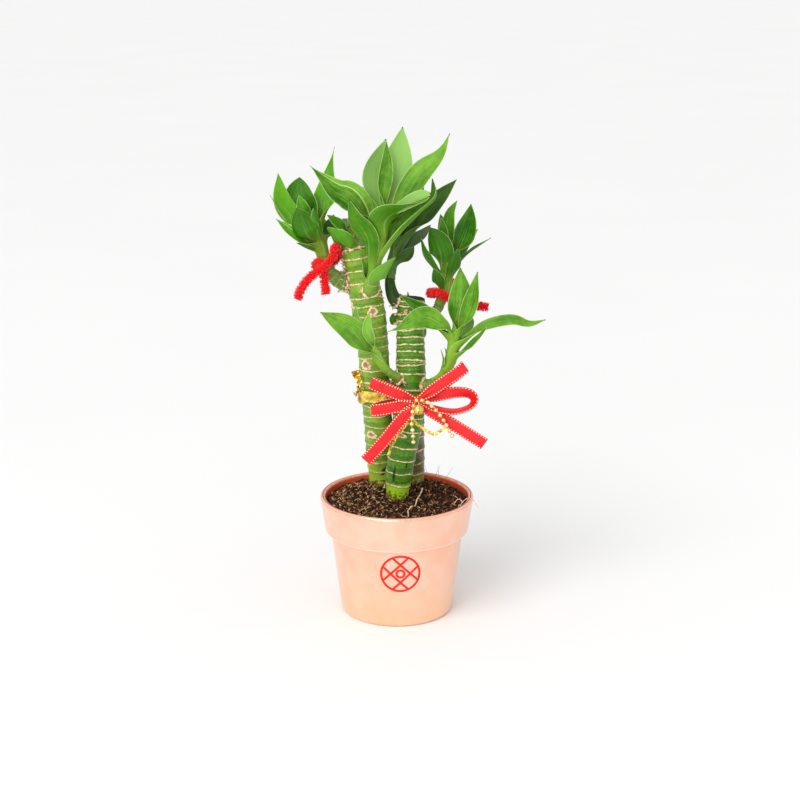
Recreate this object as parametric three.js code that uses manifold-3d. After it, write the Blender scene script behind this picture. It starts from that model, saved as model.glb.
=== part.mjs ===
// Lucky bamboo: three tied canes with leafy shoots, growing in a glazed pot with a collar.
// Millimetres, +Z up. The origin is the centre of the pot's underside; -Y is the front.

import * as THREE from 'three';
import { mergeVertices } from 'three/addons/utils/BufferGeometryUtils.js';
import Module from 'manifold-3d';

const wasm = await Module();
wasm.setup();

// Driving dimensions

const GAP = 0.3;

const POT = {
  color: 0xf0c0a6,
  height: 78,
  rimRadius: 50,
  rimWall: 3.6,
  bandHeight: 23.5,
  bandFootRadius: 46.4,
  bandRounding: 1.1,
  neckRadius: 43.1,
  baseRadius: 36.2,
  footRounding: 2.4,
  wall: 4,
  floor: 5,
  floorRounding: 3,
  segments: 36,
};

// The soil is level at the rim. Its mound is centred a little behind the middle, and it rises from its
// front share to its back share of moundHeight between frontY and backY. Lumps cross in three long waves,
// and clods of peat in three short ones. The clods fade out at clodReach from the middle, all the closer
// to it the higher clodFade is.

const SOIL = {
  color: 0x3a2a1e,
  edgeHeight: 73.6,
  moundHeight: 3.4,
  moundY: 8,
  moundReach: 40,
  frontShare: 0.45,
  backShare: 1.1,
  frontY: -12,
  backY: 18,
  lump: 0.45,
  waveX: 20.3,
  waveY: 23.3,
  waveSlanted: 11.4,
  clod: 0.85,
  clodX: 11.3,
  clodY: 12.7,
  clodSlanted: 9.7,
  clodShift: 2,
  clodReach: 46,
  clodFade: 6,
  segments: 34,
  rings: 9,
};

// A leaf is thicker along its rib than at its edges. Its root lies at a share of the stem's radius
// (rootDepth). It starts as a strongly curled sheath that looks inwards and a little up (uplook), is as
// open as the blade at openBy of its length, and faces its own way at turnedBy.

const LEAF = {
  ribThickness: 1.0,
  edgeThickness: 0.62,
  tipWidth: 0.9,
  blunt: 2.2,
  rootDepth: 0.45,
  uplook: 0.6,
  sheathCup: 150,
  sheathShare: 0.48,
  openBy: 0.5,
  turnedBy: 0.45,
  belly: 0.5,
  drawn: 0.25,
  wideFrom: 15,
  wideSegments: 4,
  narrowSegments: 2,
  steps: 5,
};

const STEM = { sides: 6, steps: 6, slimBy: 0.5 };

// A cane is a list of points up its axis, and the radius at each. Its rings are the scars that old
// leaves left: each steps out sharply at its lower edge and fades into the cane above. The pitch between
// two of them runs from firstPitch at the soil to lastPitch at the top.

const CANE_RING = { height: 0.6, step: 1 };
const STUB_SIDES = 9;

const CANES = {
  cane_tall: {
    color: 0x86b24a,
    sides: 11,
    axis: [[-9.5, 26, 30], [-10.5, 26, 80], [-11.3, 17, 103], [-12.2, 10, 127], [-14, 5, 148],
      [-14.6, 3, 168], [-17.1, 1, 194], [-20, 0, 213], [-22, 0, 226], [-25.2, 0, 240]],
    radius: [7.8, 7.9, 8.8, 9.1, 9.3, 9.5, 10.4, 10.1, 9.6, 9],
    rings: { from: 84, to: 238, firstPitch: 7.9, lastPitch: 7.3 },
  },
  cane_middle: {
    color: 0x3f7a34,
    sides: 11,
    axis: [[-1.5, 3, 22], [0.4, 0, 79], [1.9, -1, 95], [4.5, -2, 112], [7.1, -3, 129], [8.3, -4, 145],
      [8.8, -3, 162], [8.7, -2, 176], [8.6, -1, 194], [9.4, 0, 208]],
    radius: [7, 7.2, 8.5, 9, 9.6, 10.3, 9.3, 8.8, 8.7, 8.2],
    rings: { from: 83.5, to: 204, firstPitch: 8.9, lastPitch: 5 },
    stub: [[4, -1, 193], [-3.5, 4, 193.5]],
    stubRadius: 3.8,
  },
  cane_short: {
    color: 0x6d7048,
    sides: 8,
    axis: [[10, 26.5, 30], [10, 28, 78], [9.7, 22, 101], [9.3, 18.5, 122], [9.2, 17.5, 136],
      [9.2, 17.5, 166]],
    radius: [7.6, 8.2, 8.4, 8.4, 8.4, 8],
    rings: { from: 86, to: 162, firstPitch: 9, lastPitch: 7 },
  },
};

// A shoot has a stem, with the radius at its heel and at its tip, and leaves. Each leaf springs from the
// stem at a share of its length (at), runs through one or two points to its tip, and is so wide.
// cup is how far the blade curls up across its width, in degrees. Its upper face looks along face
// from mid-length on, or towards the stem and the sky where no face is given. It is widest at the share
// belly of its length. drawn makes its tip longer and thinner, from 0 to 1, and a higher blunt rounder.

const SHOOTS = {
  shoot_left: {
    cane: 'cane_tall',
    color: 0x2f8a22,
    stem: [[-27, 2, 217], [-36, 1, 219], [-41, 0, 223.5], [-45, 0, 231.5], [-47.5, 0, 242], [-51, 0, 254]],
    radius: [6.6, 2.8],
    leaves: [
      { at: 0.84, through: [[-70, 4, 265]], tip: [-73.4, 5, 285], width: 13, cup: 40,
        face: [0.4, -1, 0.1] },
      { at: 0.9, through: [[-60, 7, 267]], tip: [-60.5, 10, 282], width: 20, cup: 50,
        face: [0, -1, 0.1], blunt: 4 },
      { at: 0.96, through: [[-58, 0, 264]], tip: [-60.5, 2, 272], width: 9, cup: 70, face: [0.1, -1, 0] },
      { at: 0.8, through: [[-55, -13, 250]], tip: [-61.5, -9, 265.5], width: 18, cup: 80,
        face: [0, 1, 0.2], blunt: 4 },
      { at: 0.74, through: [[-67, -5, 254]], tip: [-77.8, -3, 272.5], width: 6, cup: 40 },
      { at: 0.7, through: [[-61.7, -10, 247.8]], tip: [-74.4, -9, 259], width: 10, cup: 50,
        face: [0.5, -0.5, 0.8] },
      { at: 0.66, through: [[-54, -4, 239]], tip: [-62, -6, 243.5], width: 9, cup: 80,
        face: [0.6, 0.5, 1] },
      { at: 0.88, through: [[-45, 11, 266], [-42, 14, 284]], tip: [-38.8, 18, 300], width: 16, cup: 50,
        face: [-0.2, -1, 0], belly: 0.3, drawn: 1 },
      { at: 0.74, through: [[-41, 13, 250]], tip: [-40, 20, 257], width: 11, cup: 50,
        face: [0, -1, 0.4] },
      { at: 0.76, through: [[-49, -11, 252]], tip: [-51, -9, 266], width: 8, cup: 70,
        face: [-0.4, 1, 0] },
      { at: 0.78, through: [[-57, 19, 256]], tip: [-64, 30, 271], width: 14, cup: 50 },
      { at: 0.68, through: [[-48, 19, 247]], tip: [-52, 34, 255], width: 12, cup: 50 },
    ],
  },
  shoot_centre: {
    cane: 'cane_tall',
    color: 0x48a52a,
    stem: [[-16, -4, 213], [-16, -13, 217], [-14, -16.5, 226], [-12, -17, 237], [-9.5, -16, 250],
      [-7, -14, 264]],
    radius: [4.9, 3],
    leaves: [
      { at: 0.9, through: [[0, -3, 290]], tip: [3.6, 3, 313.8], width: 20, cup: 45,
        face: [0.1, -1, 0.1] },
      { at: 0.88, through: [[-14.5, -6, 286]], tip: [-6.6, -4, 307], width: 17, cup: 60,
        face: [0.5, -1, 0] },
      { at: 0.97, through: [[-6.5, -10, 287]], tip: [-6.2, -8, 306], width: 9.5, cup: 80,
        face: [0, -1, 0] },
      { at: 0.85, through: [[12, -13, 284], [26, -10, 298]], tip: [32, -8, 311], width: 16, cup: 40,
        face: [-0.5, -1, 0.5], belly: 0.5, drawn: 0.7 },
      { at: 0.7, through: [[-7, -28, 261], [5, -31, 269.5]], tip: [20, -30, 276], width: 21, cup: 60,
        face: [-0.2, 0.6, 0.7], belly: 0.42 },
      { at: 0.36, through: [[-17.3, -25, 248.9], [-25, -28, 261.7]], tip: [-28.6, -30, 273.6], width: 11,
        cup: 90, face: [0.6, 1, 0.3] },
      { at: 0.76, through: [[-27.7, -14, 271.9], [-37.6, -12, 277.3]], tip: [-52.8, -9, 291.5], width: 20,
        cup: 45, face: [0.3, -0.9, 0.5], belly: 0.42, drawn: 0.8 },
      { at: 0.5, through: [[0.1, -18, 250], [13, -15, 263], [23.4, -10, 272]], tip: [21.9, -4, 283],
        width: 18, cup: 125, face: [-0.8, -0.3, 0.5] },
      { at: 0.78, through: [[10, 2, 267]], tip: [17, 8, 278], width: 13, cup: 45, face: [-0.4, -1, 0.2] },
      { at: 0.12, through: [[-11.5, -22.5, 227]], tip: [-0.6, -21, 238], width: 13, cup: 90,
        face: [-0.3, 1, 0.2] },
      { at: 0.22, through: [[-20, -17, 228]], tip: [-21.5, -18, 236], width: 7, cup: 70 },
      { at: 0.82, through: [[-7, 9, 275]], tip: [-6, 22, 292], width: 15, cup: 50 },
      { at: 0.72, through: [[-15, 7, 264]], tip: [-24, 20, 276], width: 13, cup: 45 },
    ],
  },
  shoot_crown: {
    cane: 'cane_tall',
    color: 0x3f9a2c,
    stem: [[-25, 0.5, 238], [-26.5, 2, 244], [-29, 3, 250]],
    radius: [8.2, 3],
    leaves: [
      { at: 0.9, through: [[-34.5, -1, 253]], tip: [-43.2, -2, 260.3], width: 7, cup: 50,
        face: [0.4, -1, 0.6] },
      { at: 0.35, through: [[-33.2, -8, 246.2]], tip: [-43.1, -6, 253.4], width: 11, cup: 50,
        face: [0.5, 0.8, 0.6] },
      { at: 0.85, through: [[-25, 14, 257]], tip: [-20, 27, 266], width: 13, cup: 50 },
      { at: 0.8, through: [[-32, 19, 250]], tip: [-35, 33, 252], width: 12, cup: 45 },
    ],
  },
  shoot_back: {
    cane: 'cane_middle',
    color: 0x2c6a26,
    stem: [[5, 1, 203], [-1, 0, 206.5], [-4, 2, 214], [-4, 6, 223], [-1.5, 10, 233], [2.5, 13, 243]],
    radius: [4.4, 2.8],
    leaves: [
      { at: 0.92, through: [[21, 19, 260]], tip: [37.7, 22, 279], width: 14, cup: 60,
        face: [-0.7, -1, 0.3] },
      { at: 0.86, through: [[20, 26, 258]], tip: [33.5, 31, 275], width: 10, cup: 50 },
      { at: 0.62, through: [[6, 5, 233]], tip: [11, 4, 239.5], width: 9, cup: 60, face: [-0.2, 1, 0.3] },
      { at: 0.95, through: [[6, 23, 261]], tip: [4, 33, 279], width: 13, cup: 50 },
      { at: 0.82, through: [[-3, 27, 248]], tip: [-8, 41, 259], width: 13, cup: 45 },
      { at: 0.7, through: [[13, 30, 240]], tip: [22, 46, 246], width: 12, cup: 45 },
    ],
  },
  shoot_upper_right: {
    cane: 'cane_middle',
    color: 0x2f8424,
    stem: [[12, 2, 191], [20, 4, 194.5], [26, 5, 200], [30, 6, 210], [31.3, 7, 221], [33, 8, 234]],
    radius: [4.2, 2.7],
    leaves: [
      { at: 0.9, through: [[44, 10, 249]], tip: [46.5, 12, 265], width: 15, cup: 50,
        face: [-0.5, -1, 0.2] },
      { at: 0.94, through: [[33, 14, 256]], tip: [37.9, 18, 266], width: 9, cup: 60,
        face: [-0.4, -1, 0] },
      { at: 0.97, through: [[29, 9, 249]], tip: [27.6, 10, 257], width: 6.5, cup: 60, face: [0, -1, 0] },
      { at: 0.76, through: [[27, -3, 238]], tip: [20.6, -1, 252.5], width: 17, cup: 80,
        face: [0.2, 1, 0.3], blunt: 4 },
      { at: 0.7, through: [[18, 5, 234]], tip: [15, 4, 245], width: 8, cup: 60, face: [0.8, 0.6, 0] },
      { at: 0.66, through: [[36.5, 0, 229]], tip: [38.2, 0, 239], width: 10, cup: 80,
        face: [-0.4, 1, 0] },
      { at: 0.54, through: [[26, 0, 217]], tip: [23, -1, 226.5], width: 9, cup: 80, face: [0.4, 1, 0] },
      { at: 0.8, through: [[46, 15, 234]], tip: [59.8, 18, 242.5], width: 5, cup: 40 },
      { at: 0.84, through: [[31, 23, 243]], tip: [28, 35, 255], width: 12, cup: 50 },
      { at: 0.74, through: [[42, 24, 236]], tip: [52, 36, 245], width: 11, cup: 45 },
    ],
  },
  shoot_lower_right: {
    cane: 'cane_middle',
    color: 0x3f9a2a,
    stem: [[13, -7, 152.5], [21.5, -11, 154.5], [28, -13, 159.5], [33, -13.5, 169], [35, -13, 179],
      [36.5, -12, 190]],
    radius: [3.7, 2.5],
    leaves: [
      { at: 0.92, through: [[39.5, -11, 207]], tip: [39.3, -8, 228.5], width: 15.5, cup: 50,
        face: [-0.1, -1, 0.1] },
      { at: 0.86, through: [[47, -14, 207]], tip: [49.9, -14, 227], width: 13, cup: 60,
        face: [-0.7, -1, 0] },
      { at: 0.8, through: [[14.9, -22, 203.3]], tip: [-1.3, -26, 194.5], width: 17, cup: 60,
        face: [0, -0.8, 0.8] },
      { at: 0.84, through: [[19.4, -13, 205]], tip: [5.6, -14, 211.4], width: 13, cup: 50,
        face: [0.2, -0.7, 0.7] },
      { at: 0.76, through: [[53.2, -12, 191.3], [71.5, -10, 195.6], [82.9, -8, 192.6]],
        tip: [93.2, -8, 195.3], width: 8, cup: 40, face: [0, -1, 0.9], belly: 0.55 },
      { at: 0.64, through: [[49.5, -20, 185.2]], tip: [56.1, -22, 194.5], width: 7, cup: 60,
        face: [-0.6, -0.4, 0.8] },
      { at: 0.8, through: [[43, 5, 187]], tip: [47, 22, 193], width: 11, cup: 45 },
      { at: 0.42, through: [[29, -15, 171]], tip: [27.5, -15.5, 178], width: 5, cup: 80 },
    ],
  },
  shoot_lower_left: {
    cane: 'cane_middle',
    color: 0x57ab34,
    stem: [[4, -8, 156], [-2, -13, 160.5], [-6.5, -17, 165.5], [-11, -20, 173], [-15, -21, 182]],
    radius: [3.1, 2.3],
    leaves: [
      { at: 0.72, through: [[-27.7, -25, 191.5]], tip: [-46.8, -27, 204.3], width: 17, cup: 50,
        face: [0.3, -1, 0.6] },
      { at: 0.84, through: [[-24.5, -18, 195]], tip: [-25.3, -17, 207], width: 7, cup: 60,
        face: [0, -1, 0] },
      { at: 0.9, through: [[-18, -22, 191]], tip: [-17, -21.5, 203], width: 7, cup: 60,
        face: [0, -1, 0] },
    ],
  },
  shoot_behind: {
    cane: 'cane_short',
    color: 0x357a2a,
    stem: [[9.5, 21, 154], [10, 29, 156.5], [10, 34, 162.5], [10, 36, 171]],
    radius: [3.9, 2.5],
    leaves: [
      { at: 0.92, through: [[8, 37, 184]], tip: [7, 40, 203], width: 13, cup: 60 },
      { at: 0.85, through: [[13, 49, 178]], tip: [13, 58, 192], width: 12, cup: 50 },
      { at: 0.72, through: [[3, 51, 169]], tip: [-4, 66, 174], width: 12, cup: 45 },
      { at: 0.78, through: [[19, 50, 170]], tip: [27, 62, 177], width: 11, cup: 45 },
      { at: 0.55, through: [[10, 51, 157]], tip: [9, 66, 157], width: 10, cup: 50 },
    ],
  },
};

// The red bow is one satin ribbon: a knot, loops and tails. Each run is a list of points along its middle,
// starting and ending in the knot, with its face to the front at the start. twist is how far a run has
// turned about its own middle line halfway along, in degrees.

const BOW = {
  color: 0xe0343a,
  width: 7.6,
  thickness: 0.62,
  pinch: 0.6,
  pinchedFor: 0.15,
  stepsPerPoint: 1.6,
  knot: { centre: [12.7, -20.6, 146.2], radius: 3.1, neck: 0.75, height: 8, sides: 8, steps: 3 },
  runs: {
    upperLeft: {
      points: [[11, -21.5, 147], [-2, -24, 152.5], [-13, -25, 157.5], [-16, -23.3, 158.8],
        [-13.5, -21.2, 157.5], [-2, -19.8, 152], [10, -19.6, 147]],
    },
    lowerLeft: {
      points: [[11, -21.5, 145.5], [-1, -23.6, 143], [-13, -24.6, 141.3], [-15.8, -22.8, 141],
        [-13, -20.8, 141.5], [-1, -19.6, 143.5], [10, -19.6, 145.5]],
    },
    leftTail: {
      points: [[11, -21.5, 144], [2, -24, 134], [-9, -26, 120.5], [-19.5, -26, 108.5]],
    },
    upperRight: {
      points: [[14, -21.5, 147.5], [28, -24.5, 158.5], [39.5, -25.5, 167], [42.2, -23.8, 169.2],
        [39, -21.7, 166.5], [27, -20.2, 157], [15, -19.6, 147.5]],
    },
    rightRing: {
      points: [[14, -20.5, 147], [25, -20, 149.5], [36, -20, 151.5], [45, -20.5, 151],
        [48.5, -22, 147.5], [45.5, -24, 143.2], [36, -24.5, 140.3], [25, -23.5, 141.5], [14, -21.5, 145]],
      twist: 50,
    },
    rightTail: {
      points: [[14, -21.5, 144.5], [26, -24, 137.5], [40, -25, 129], [55, -24, 119]],
    },
  },
};

// The gold garland is moulded beads on a thread, with a small round bell where its two strands meet.

const GARLAND = {
  color: 0xf0d060,
  bead: 1.3,
  beadStations: [-0.92, -0.45, 0.45, 0.92],
  spacing: 4,
  thread: 0.42,
  sides: 5,
  bell: { centre: [13.6, -27.2, 141.6], radius: 3.4, segments: [10, 7] },
  strands: [
    [[18.5, -26, 146.8], [14, -26.4, 147.6], [11.8, -26, 144], [10.6, -25.6, 137], [10.2, -25.2, 129],
      [11, -25, 120.5]],
    [[13.6, -26.6, 143], [20.5, -27.4, 145.2], [28, -28.6, 140], [33, -28.2, 132], [36.8, -28, 123.5]],
  ],
};

// Gold foil ties the three canes: a band, its two crumpled ends, and two thin foil strips.

const TIE = {
  color: 0xd9a92e,
  from: 142,
  to: 148,
  clearance: 1.5,
  thickness: 0.7,
  outlineSteps: 30,
  ends: [
    [[-21.4, -2.5, 146.5], [-24, -4, 150.5], [-26.5, -4.5, 158.5]],
    [[-21.4, -2.5, 145.5], [-24.4, -4.6, 146.8], [-27, -6, 145]],
  ],
  endWidth: 3.4,
  endPinch: 0.6,
  endSteps: 4,
  strips: [
    [[11.5, -20.2, 140.5], [9.8, -21, 136], [16.5, -22, 130.5], [24, -22.5, 125.5], [31.5, -23, 130]],
    [[11.5, -20.2, 140.5], [9.8, -21, 136], [2.5, -20.5, 128.5], [-0.5, -20, 122.5], [-3.8, -18, 112]],
  ],
  stripWidth: 1.5,
  stripSteps: 10,
};

// Red chenille stems are twisted round two of the shoots. Each is a list of points along its wire.

const CHENILLE = {
  color: 0xe0101c,
  radius: 3.2,
  tipShare: 0.55,
  tipLength: 0.05,
  sides: 8,
  steps: 13,
  stems: {
    chenille_left: [
      [[-43.8, -15, 213.5], [-44.6, -15.5, 225], [-45.6, -12.5, 230], [-48.5, -7.5, 231.5],
        [-50.6, 0, 228.5], [-48.5, 7, 226.5], [-42.5, 8.5, 226.5], [-37.5, 4.5, 232.5],
        [-37, -3, 238.5], [-38, -9, 241]],
      [[-37.4, -5.5, 240], [-38.2, -10.5, 241], [-39.5, -14, 236], [-45.5, -17.5, 229.8],
        [-53.5, -17.5, 224], [-58.5, -16, 217.5], [-61.4, -14, 210]],
    ],
    chenille_right: [
      [[35, 14.5, 217], [33, 14.6, 211.5], [27.5, 14, 208], [22, 9.5, 208.5], [21.3, 3, 210],
        [25, -1.6, 211.5], [31, -2.2, 208.5], [37.5, 0.5, 205], [46, 2.5, 203.3], [57, 2, 202.5]],
    ],
  },
};

// A pale root lies loose on the soil. Its points are [x, y], and lift keeps it clear of the lumps.

const ROOT = {
  color: 0xd9b38c,
  radius: 0.55,
  lift: 1.5,
  sides: 5,
  steps: 12,
  path: [[16.8, 10], [14, -4], [12, -15], [7.5, -26], [7.2, -36]],
};

// How rough and how metallic each finish is

const FINISH = {
  glaze: [0.25, 0.3],
  cane: [0.45, 0],
  soil: [0.95, 0],
  root: [0.7, 0],
  leaf: [0.4, 0],
  foil: [0.3, 0.9],
  satin: [0.35, 0],
  bead: [0.2, 0.9],
  pile: [0.9, 0],
};

// Small geometry helpers

const vec = (p) => new THREE.Vector3(p[0], p[1], p[2]);
const mix = (a, b, s) => a + (b - a) * s;
const smooth = (s) => THREE.MathUtils.smoothstep(s, 0, 1);
const curveThrough = (points) => new THREE.CatmullRomCurve3(points, false, 'catmullrom', 0.5);
const evenSteps = (count) => Array.from({ length: count + 1 }, (_, i) => i / count);

/** A point, a tangent and two directions across it at each station, carried along without twist. */
function frames(curve, stations, reference) {
  const across = reference.clone();
  return stations.map((t) => {
    const tangent = curve.getTangentAt(t);
    across.addScaledVector(tangent, -across.dot(tangent)).normalize();
    return {
      point: curve.getPointAt(t),
      tangent,
      across: across.clone(),
      side: new THREE.Vector3().crossVectors(tangent, across),
    };
  });
}

/** Triangles between rings of equally many points, closed by the two caps' triangles. */
function closedSurface(rings, startCap, endCap) {
  const count = rings[0].length;
  const positions = rings.flat().flatMap((p) => [p.x, p.y, p.z]);
  const index = [];
  for (let i = 0; i + 1 < rings.length; i += 1) {
    for (let j = 0; j < count; j += 1) {
      const a = i * count + j;
      const b = i * count + ((j + 1) % count);
      index.push(a, b, a + count, b, b + count, a + count);
    }
  }
  const last = (rings.length - 1) * count;
  startCap.forEach(([a, b, c]) => index.push(a, c, b));
  endCap.forEach(([a, b, c]) => index.push(last + a, last + b, last + c));
  const geometry = new THREE.BufferGeometry();
  geometry.setAttribute('position', new THREE.Float32BufferAttribute(positions, 3));
  geometry.setIndex(index);
  return geometry;
}

/** A round tube along a curve, with a radius that may change from station to station. */
function tube(curve, stations, radiusAt, sides, reference = new THREE.Vector3(1, 0, 0)) {
  const rings = frames(curve, stations, reference).map((frame, i) => {
    const radius = radiusAt(stations[i]);
    return Array.from({ length: sides }, (_, j) => {
      const angle = (2 * Math.PI * j) / sides;
      return frame.point.clone()
        .addScaledVector(frame.across, radius * Math.cos(angle))
        .addScaledVector(frame.side, radius * Math.sin(angle));
    });
  });
  const cap = Array.from({ length: sides - 2 }, (_, j) => [0, j + 1, j + 2]);
  return closedSurface(rings, cap, cap);
}

/**
 * A flat strap along a curve, facing the given way at its start, with a width for each station.
 * Halfway along it has turned about its middle line by the twist, in degrees.
 */
function strap(points, facing, widthAt, thickness, steps, twist = 0) {
  const curve = curveThrough(points.map(vec));
  const stations = evenSteps(steps);
  const corners = [[-1, 1], [1, 1], [1, -1], [-1, -1]];
  const rings = frames(curve, stations, vec(facing)).map((frame, i) => {
    const turn = THREE.MathUtils.degToRad(twist) * Math.sin(Math.PI * stations[i]);
    const side = frame.side.clone().applyAxisAngle(frame.tangent, turn);
    const across = frame.across.clone().applyAxisAngle(frame.tangent, turn);
    return corners.map(([s, a]) => frame.point.clone()
      .addScaledVector(side, (s * widthAt(stations[i])) / 2)
      .addScaledVector(across, (a * thickness) / 2));
  });
  return closedSurface(rings, [[0, 1, 2], [0, 2, 3]], [[0, 1, 2], [0, 2, 3]]);
}

/** A manifold solid of a closed geometry. */
function solid(geometry) {
  const bare = geometry.clone();
  bare.deleteAttribute('normal');
  bare.deleteAttribute('uv');
  const merged = mergeVertices(bare, 1e-4);
  return new wasm.Manifold(new wasm.Mesh({
    numProp: 3,
    vertProperties: Float32Array.from(merged.attributes.position.array),
    triVerts: Uint32Array.from(merged.index.array),
  }));
}

/** The geometry of a manifold solid. */
function geometryOf(body) {
  const mesh = body.getMesh();
  const geometry = new THREE.BufferGeometry();
  geometry.setAttribute('position', new THREE.BufferAttribute(Float32Array.from(mesh.vertProperties), 3));
  geometry.setIndex(new THREE.BufferAttribute(Uint32Array.from(mesh.triVerts), 1));
  geometry.computeVertexNormals();
  return geometry;
}

const fuse = (bodies) => bodies.reduce((sum, body) => sum.add(body));

/** The largest body of a solid, with any small hollow that fusing sealed inside it filled. */
function wholeBody(body) {
  return body.decompose().reduce((best, next) => (next.volume() > best.volume() ? next : best));
}

const model = new THREE.Group();

/** Adds one named piece with its own finish to the model. */
function addPiece(name, body, color, [roughness, metalness]) {
  const material = new THREE.MeshStandardMaterial({ color, roughness, metalness });
  const mesh = new THREE.Mesh(geometryOf(body), material);
  mesh.name = name;
  model.add(mesh);
}

// Pot

/** A body turned round the Z axis from a profile of [radius, height] points. */
function turned(profile, segments) {
  const lathe = new THREE.LatheGeometry(profile.map(([r, z]) => new THREE.Vector2(r, z)), segments);
  lathe.rotateX(Math.PI / 2);
  return lathe;
}

/** Radius of the pot's outside below the band, at a height. */
const potBodyRadius = (z) => mix(POT.baseRadius, POT.neckRadius, z / (POT.height - POT.bandHeight));

/** Height at which the rounded rim starts. */
const rimStart = POT.height - POT.rimWall / 2;

/** Radius of the pot's inside at a height. */
const potInsideRadius = (z) => mix(
  potBodyRadius(POT.floor) - POT.wall,
  POT.rimRadius - POT.rimWall,
  (z - POT.floor) / (rimStart - POT.floor),
);

/** Points of a rounded edge in a profile: an arc about a middle, between two angles in degrees. */
function arc([r, z], radius, from, to, steps) {
  return evenSteps(steps).map((s) => {
    const angle = THREE.MathUtils.degToRad(mix(from, to, s));
    return [r + radius * Math.cos(angle), z + radius * Math.sin(angle)];
  });
}

function makePot() {
  const bandFoot = POT.height - POT.bandHeight;
  const foot = [POT.baseRadius - POT.footRounding, POT.footRounding];
  const bandEdge = [POT.bandFootRadius - POT.bandRounding, bandFoot + POT.bandRounding];
  const rim = [POT.rimRadius - POT.rimWall / 2, rimStart];
  const profile = [
    [0, 0],
    ...arc(foot, POT.footRounding, -90, 0, 3),
    [POT.neckRadius, bandFoot],
    ...arc(bandEdge, POT.bandRounding, -90, 0, 2),
    ...arc(rim, POT.rimWall / 2, 0, 180, 4),
    [potInsideRadius(POT.floor + POT.floorRounding), POT.floor + POT.floorRounding],
    [potInsideRadius(POT.floor) - POT.floorRounding, POT.floor],
    [0, POT.floor],
  ];
  return solid(turned(profile, POT.segments));
}

// Soil

/** Height of the soil's surface: level at the rim, mounded round the canes, more so behind, and lumpy. */
function soilHeight(x, y) {
  const share = Math.min(1, Math.hypot(x, y - SOIL.moundY) / SOIL.moundReach);
  const depth = smooth((y - SOIL.frontY) / (SOIL.backY - SOIL.frontY));
  const mound = SOIL.moundHeight * mix(SOIL.frontShare, SOIL.backShare, depth) * (1 - share * share);
  const wave = (distance, length) => Math.sin((2 * Math.PI * distance) / length);
  const lumps = wave(x, SOIL.waveX) * wave(y, SOIL.waveY) + wave(x + y, SOIL.waveSlanted) / 2;
  const crossing = wave(x + SOIL.clodShift, SOIL.clodX) * wave(y, SOIL.clodY);
  const clods = crossing + wave(x - y, SOIL.clodSlanted) / 2;
  const clodShare = 1 - Math.min(1, Math.hypot(x, y) / SOIL.clodReach) ** SOIL.clodFade;
  return SOIL.edgeHeight + mound + SOIL.lump * lumps + SOIL.clod * clodShare * clods;
}

function makeSoil(caneBodies) {
  const edge = potInsideRadius(SOIL.edgeHeight) - GAP;
  const bottom = POT.floor + POT.floorRounding + GAP;
  const surface = evenSteps(SOIL.rings).reverse().map((s) => [edge * s, SOIL.edgeHeight]);
  const profile = [[0, bottom], [potInsideRadius(bottom) - GAP, bottom], ...surface];
  const lathe = turned(profile, SOIL.segments);
  const position = lathe.attributes.position;
  for (let i = 0; i < position.count; i += 1) {
    if (position.getZ(i) > bottom + 1) {
      position.setZ(i, soilHeight(position.getX(i), position.getY(i)));
    }
  }
  return caneBodies.reduce((soil, cane) => soil.subtract(cane), solid(lathe));
}

// Canes

/** Heights of a cane's leaf-scar rings, with the pitch running from the first to the last value. */
function ringHeights({ from, to, firstPitch, lastPitch }) {
  const heights = [];
  for (let z = from; z <= to; z += mix(firstPitch, lastPitch, (z - from) / (to - from))) {
    heights.push(z);
  }
  return heights;
}

/** The cane's middle and its radius at a height, between the two axis points around it. */
function caneAt(cane, z) {
  const above = cane.axis.findIndex((p) => p[2] > z);
  const upper = above < 1 ? cane.axis.length - 1 : above;
  const [a, b] = [cane.axis[upper - 1], cane.axis[upper]];
  const s = THREE.MathUtils.clamp((z - a[2]) / (b[2] - a[2]), 0, 1);
  return {
    x: mix(a[0], b[0], s),
    y: mix(a[1], b[1], s),
    radius: mix(cane.radius[upper - 1], cane.radius[upper], s),
  };
}

/** A cane with its rings, grown outwards by an allowance all round. */
function makeCane(cane, grow = 0) {
  const curve = curveThrough(cane.axis.map(vec));
  const length = curve.getLength();
  const foot = cane.axis[0][2];
  const head = cane.axis[cane.axis.length - 1][2];
  const share = (z) => (z - foot) / (head - foot);
  const rings = ringHeights(cane.rings).map(share);
  const step = CANE_RING.step / length;
  const stations = [0, ...rings.flatMap((s) => [s - step, s]), 1];
  const radiusAt = (t) => {
    const ring = rings.some((s) => Math.abs(s - t) < step / 2) ? CANE_RING.height : 0;
    return caneAt(cane, curve.getPointAt(t).z).radius + ring + grow;
  };
  const body = solid(tube(curve, stations, radiusAt, cane.sides));
  if (!cane.stub) {
    return body;
  }
  const stub = tube(curveThrough(cane.stub.map(vec)), [0, 1], () => cane.stubRadius + grow, STUB_SIDES);
  return body.add(solid(stub));
}

// Shoots and their leaves

/** Half the width of a leaf at a share of its length: a sheath, a belly, and a blunt or drawn-out tip. */
function leafHalfWidth(t, { width, belly = LEAF.belly, drawn = LEAF.drawn, blunt = LEAF.blunt }) {
  if (t < belly) {
    return (width / 2) * mix(LEAF.sheathShare, 1, Math.sin((t / belly) * (Math.PI / 2)));
  }
  const x = (t - belly) / (1 - belly);
  const taper = mix(1 - x ** blunt, 0.5 * (1 + Math.cos(Math.PI * x)), drawn);
  return mix(LEAF.tipWidth / 2, width / 2, taper);
}

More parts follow.
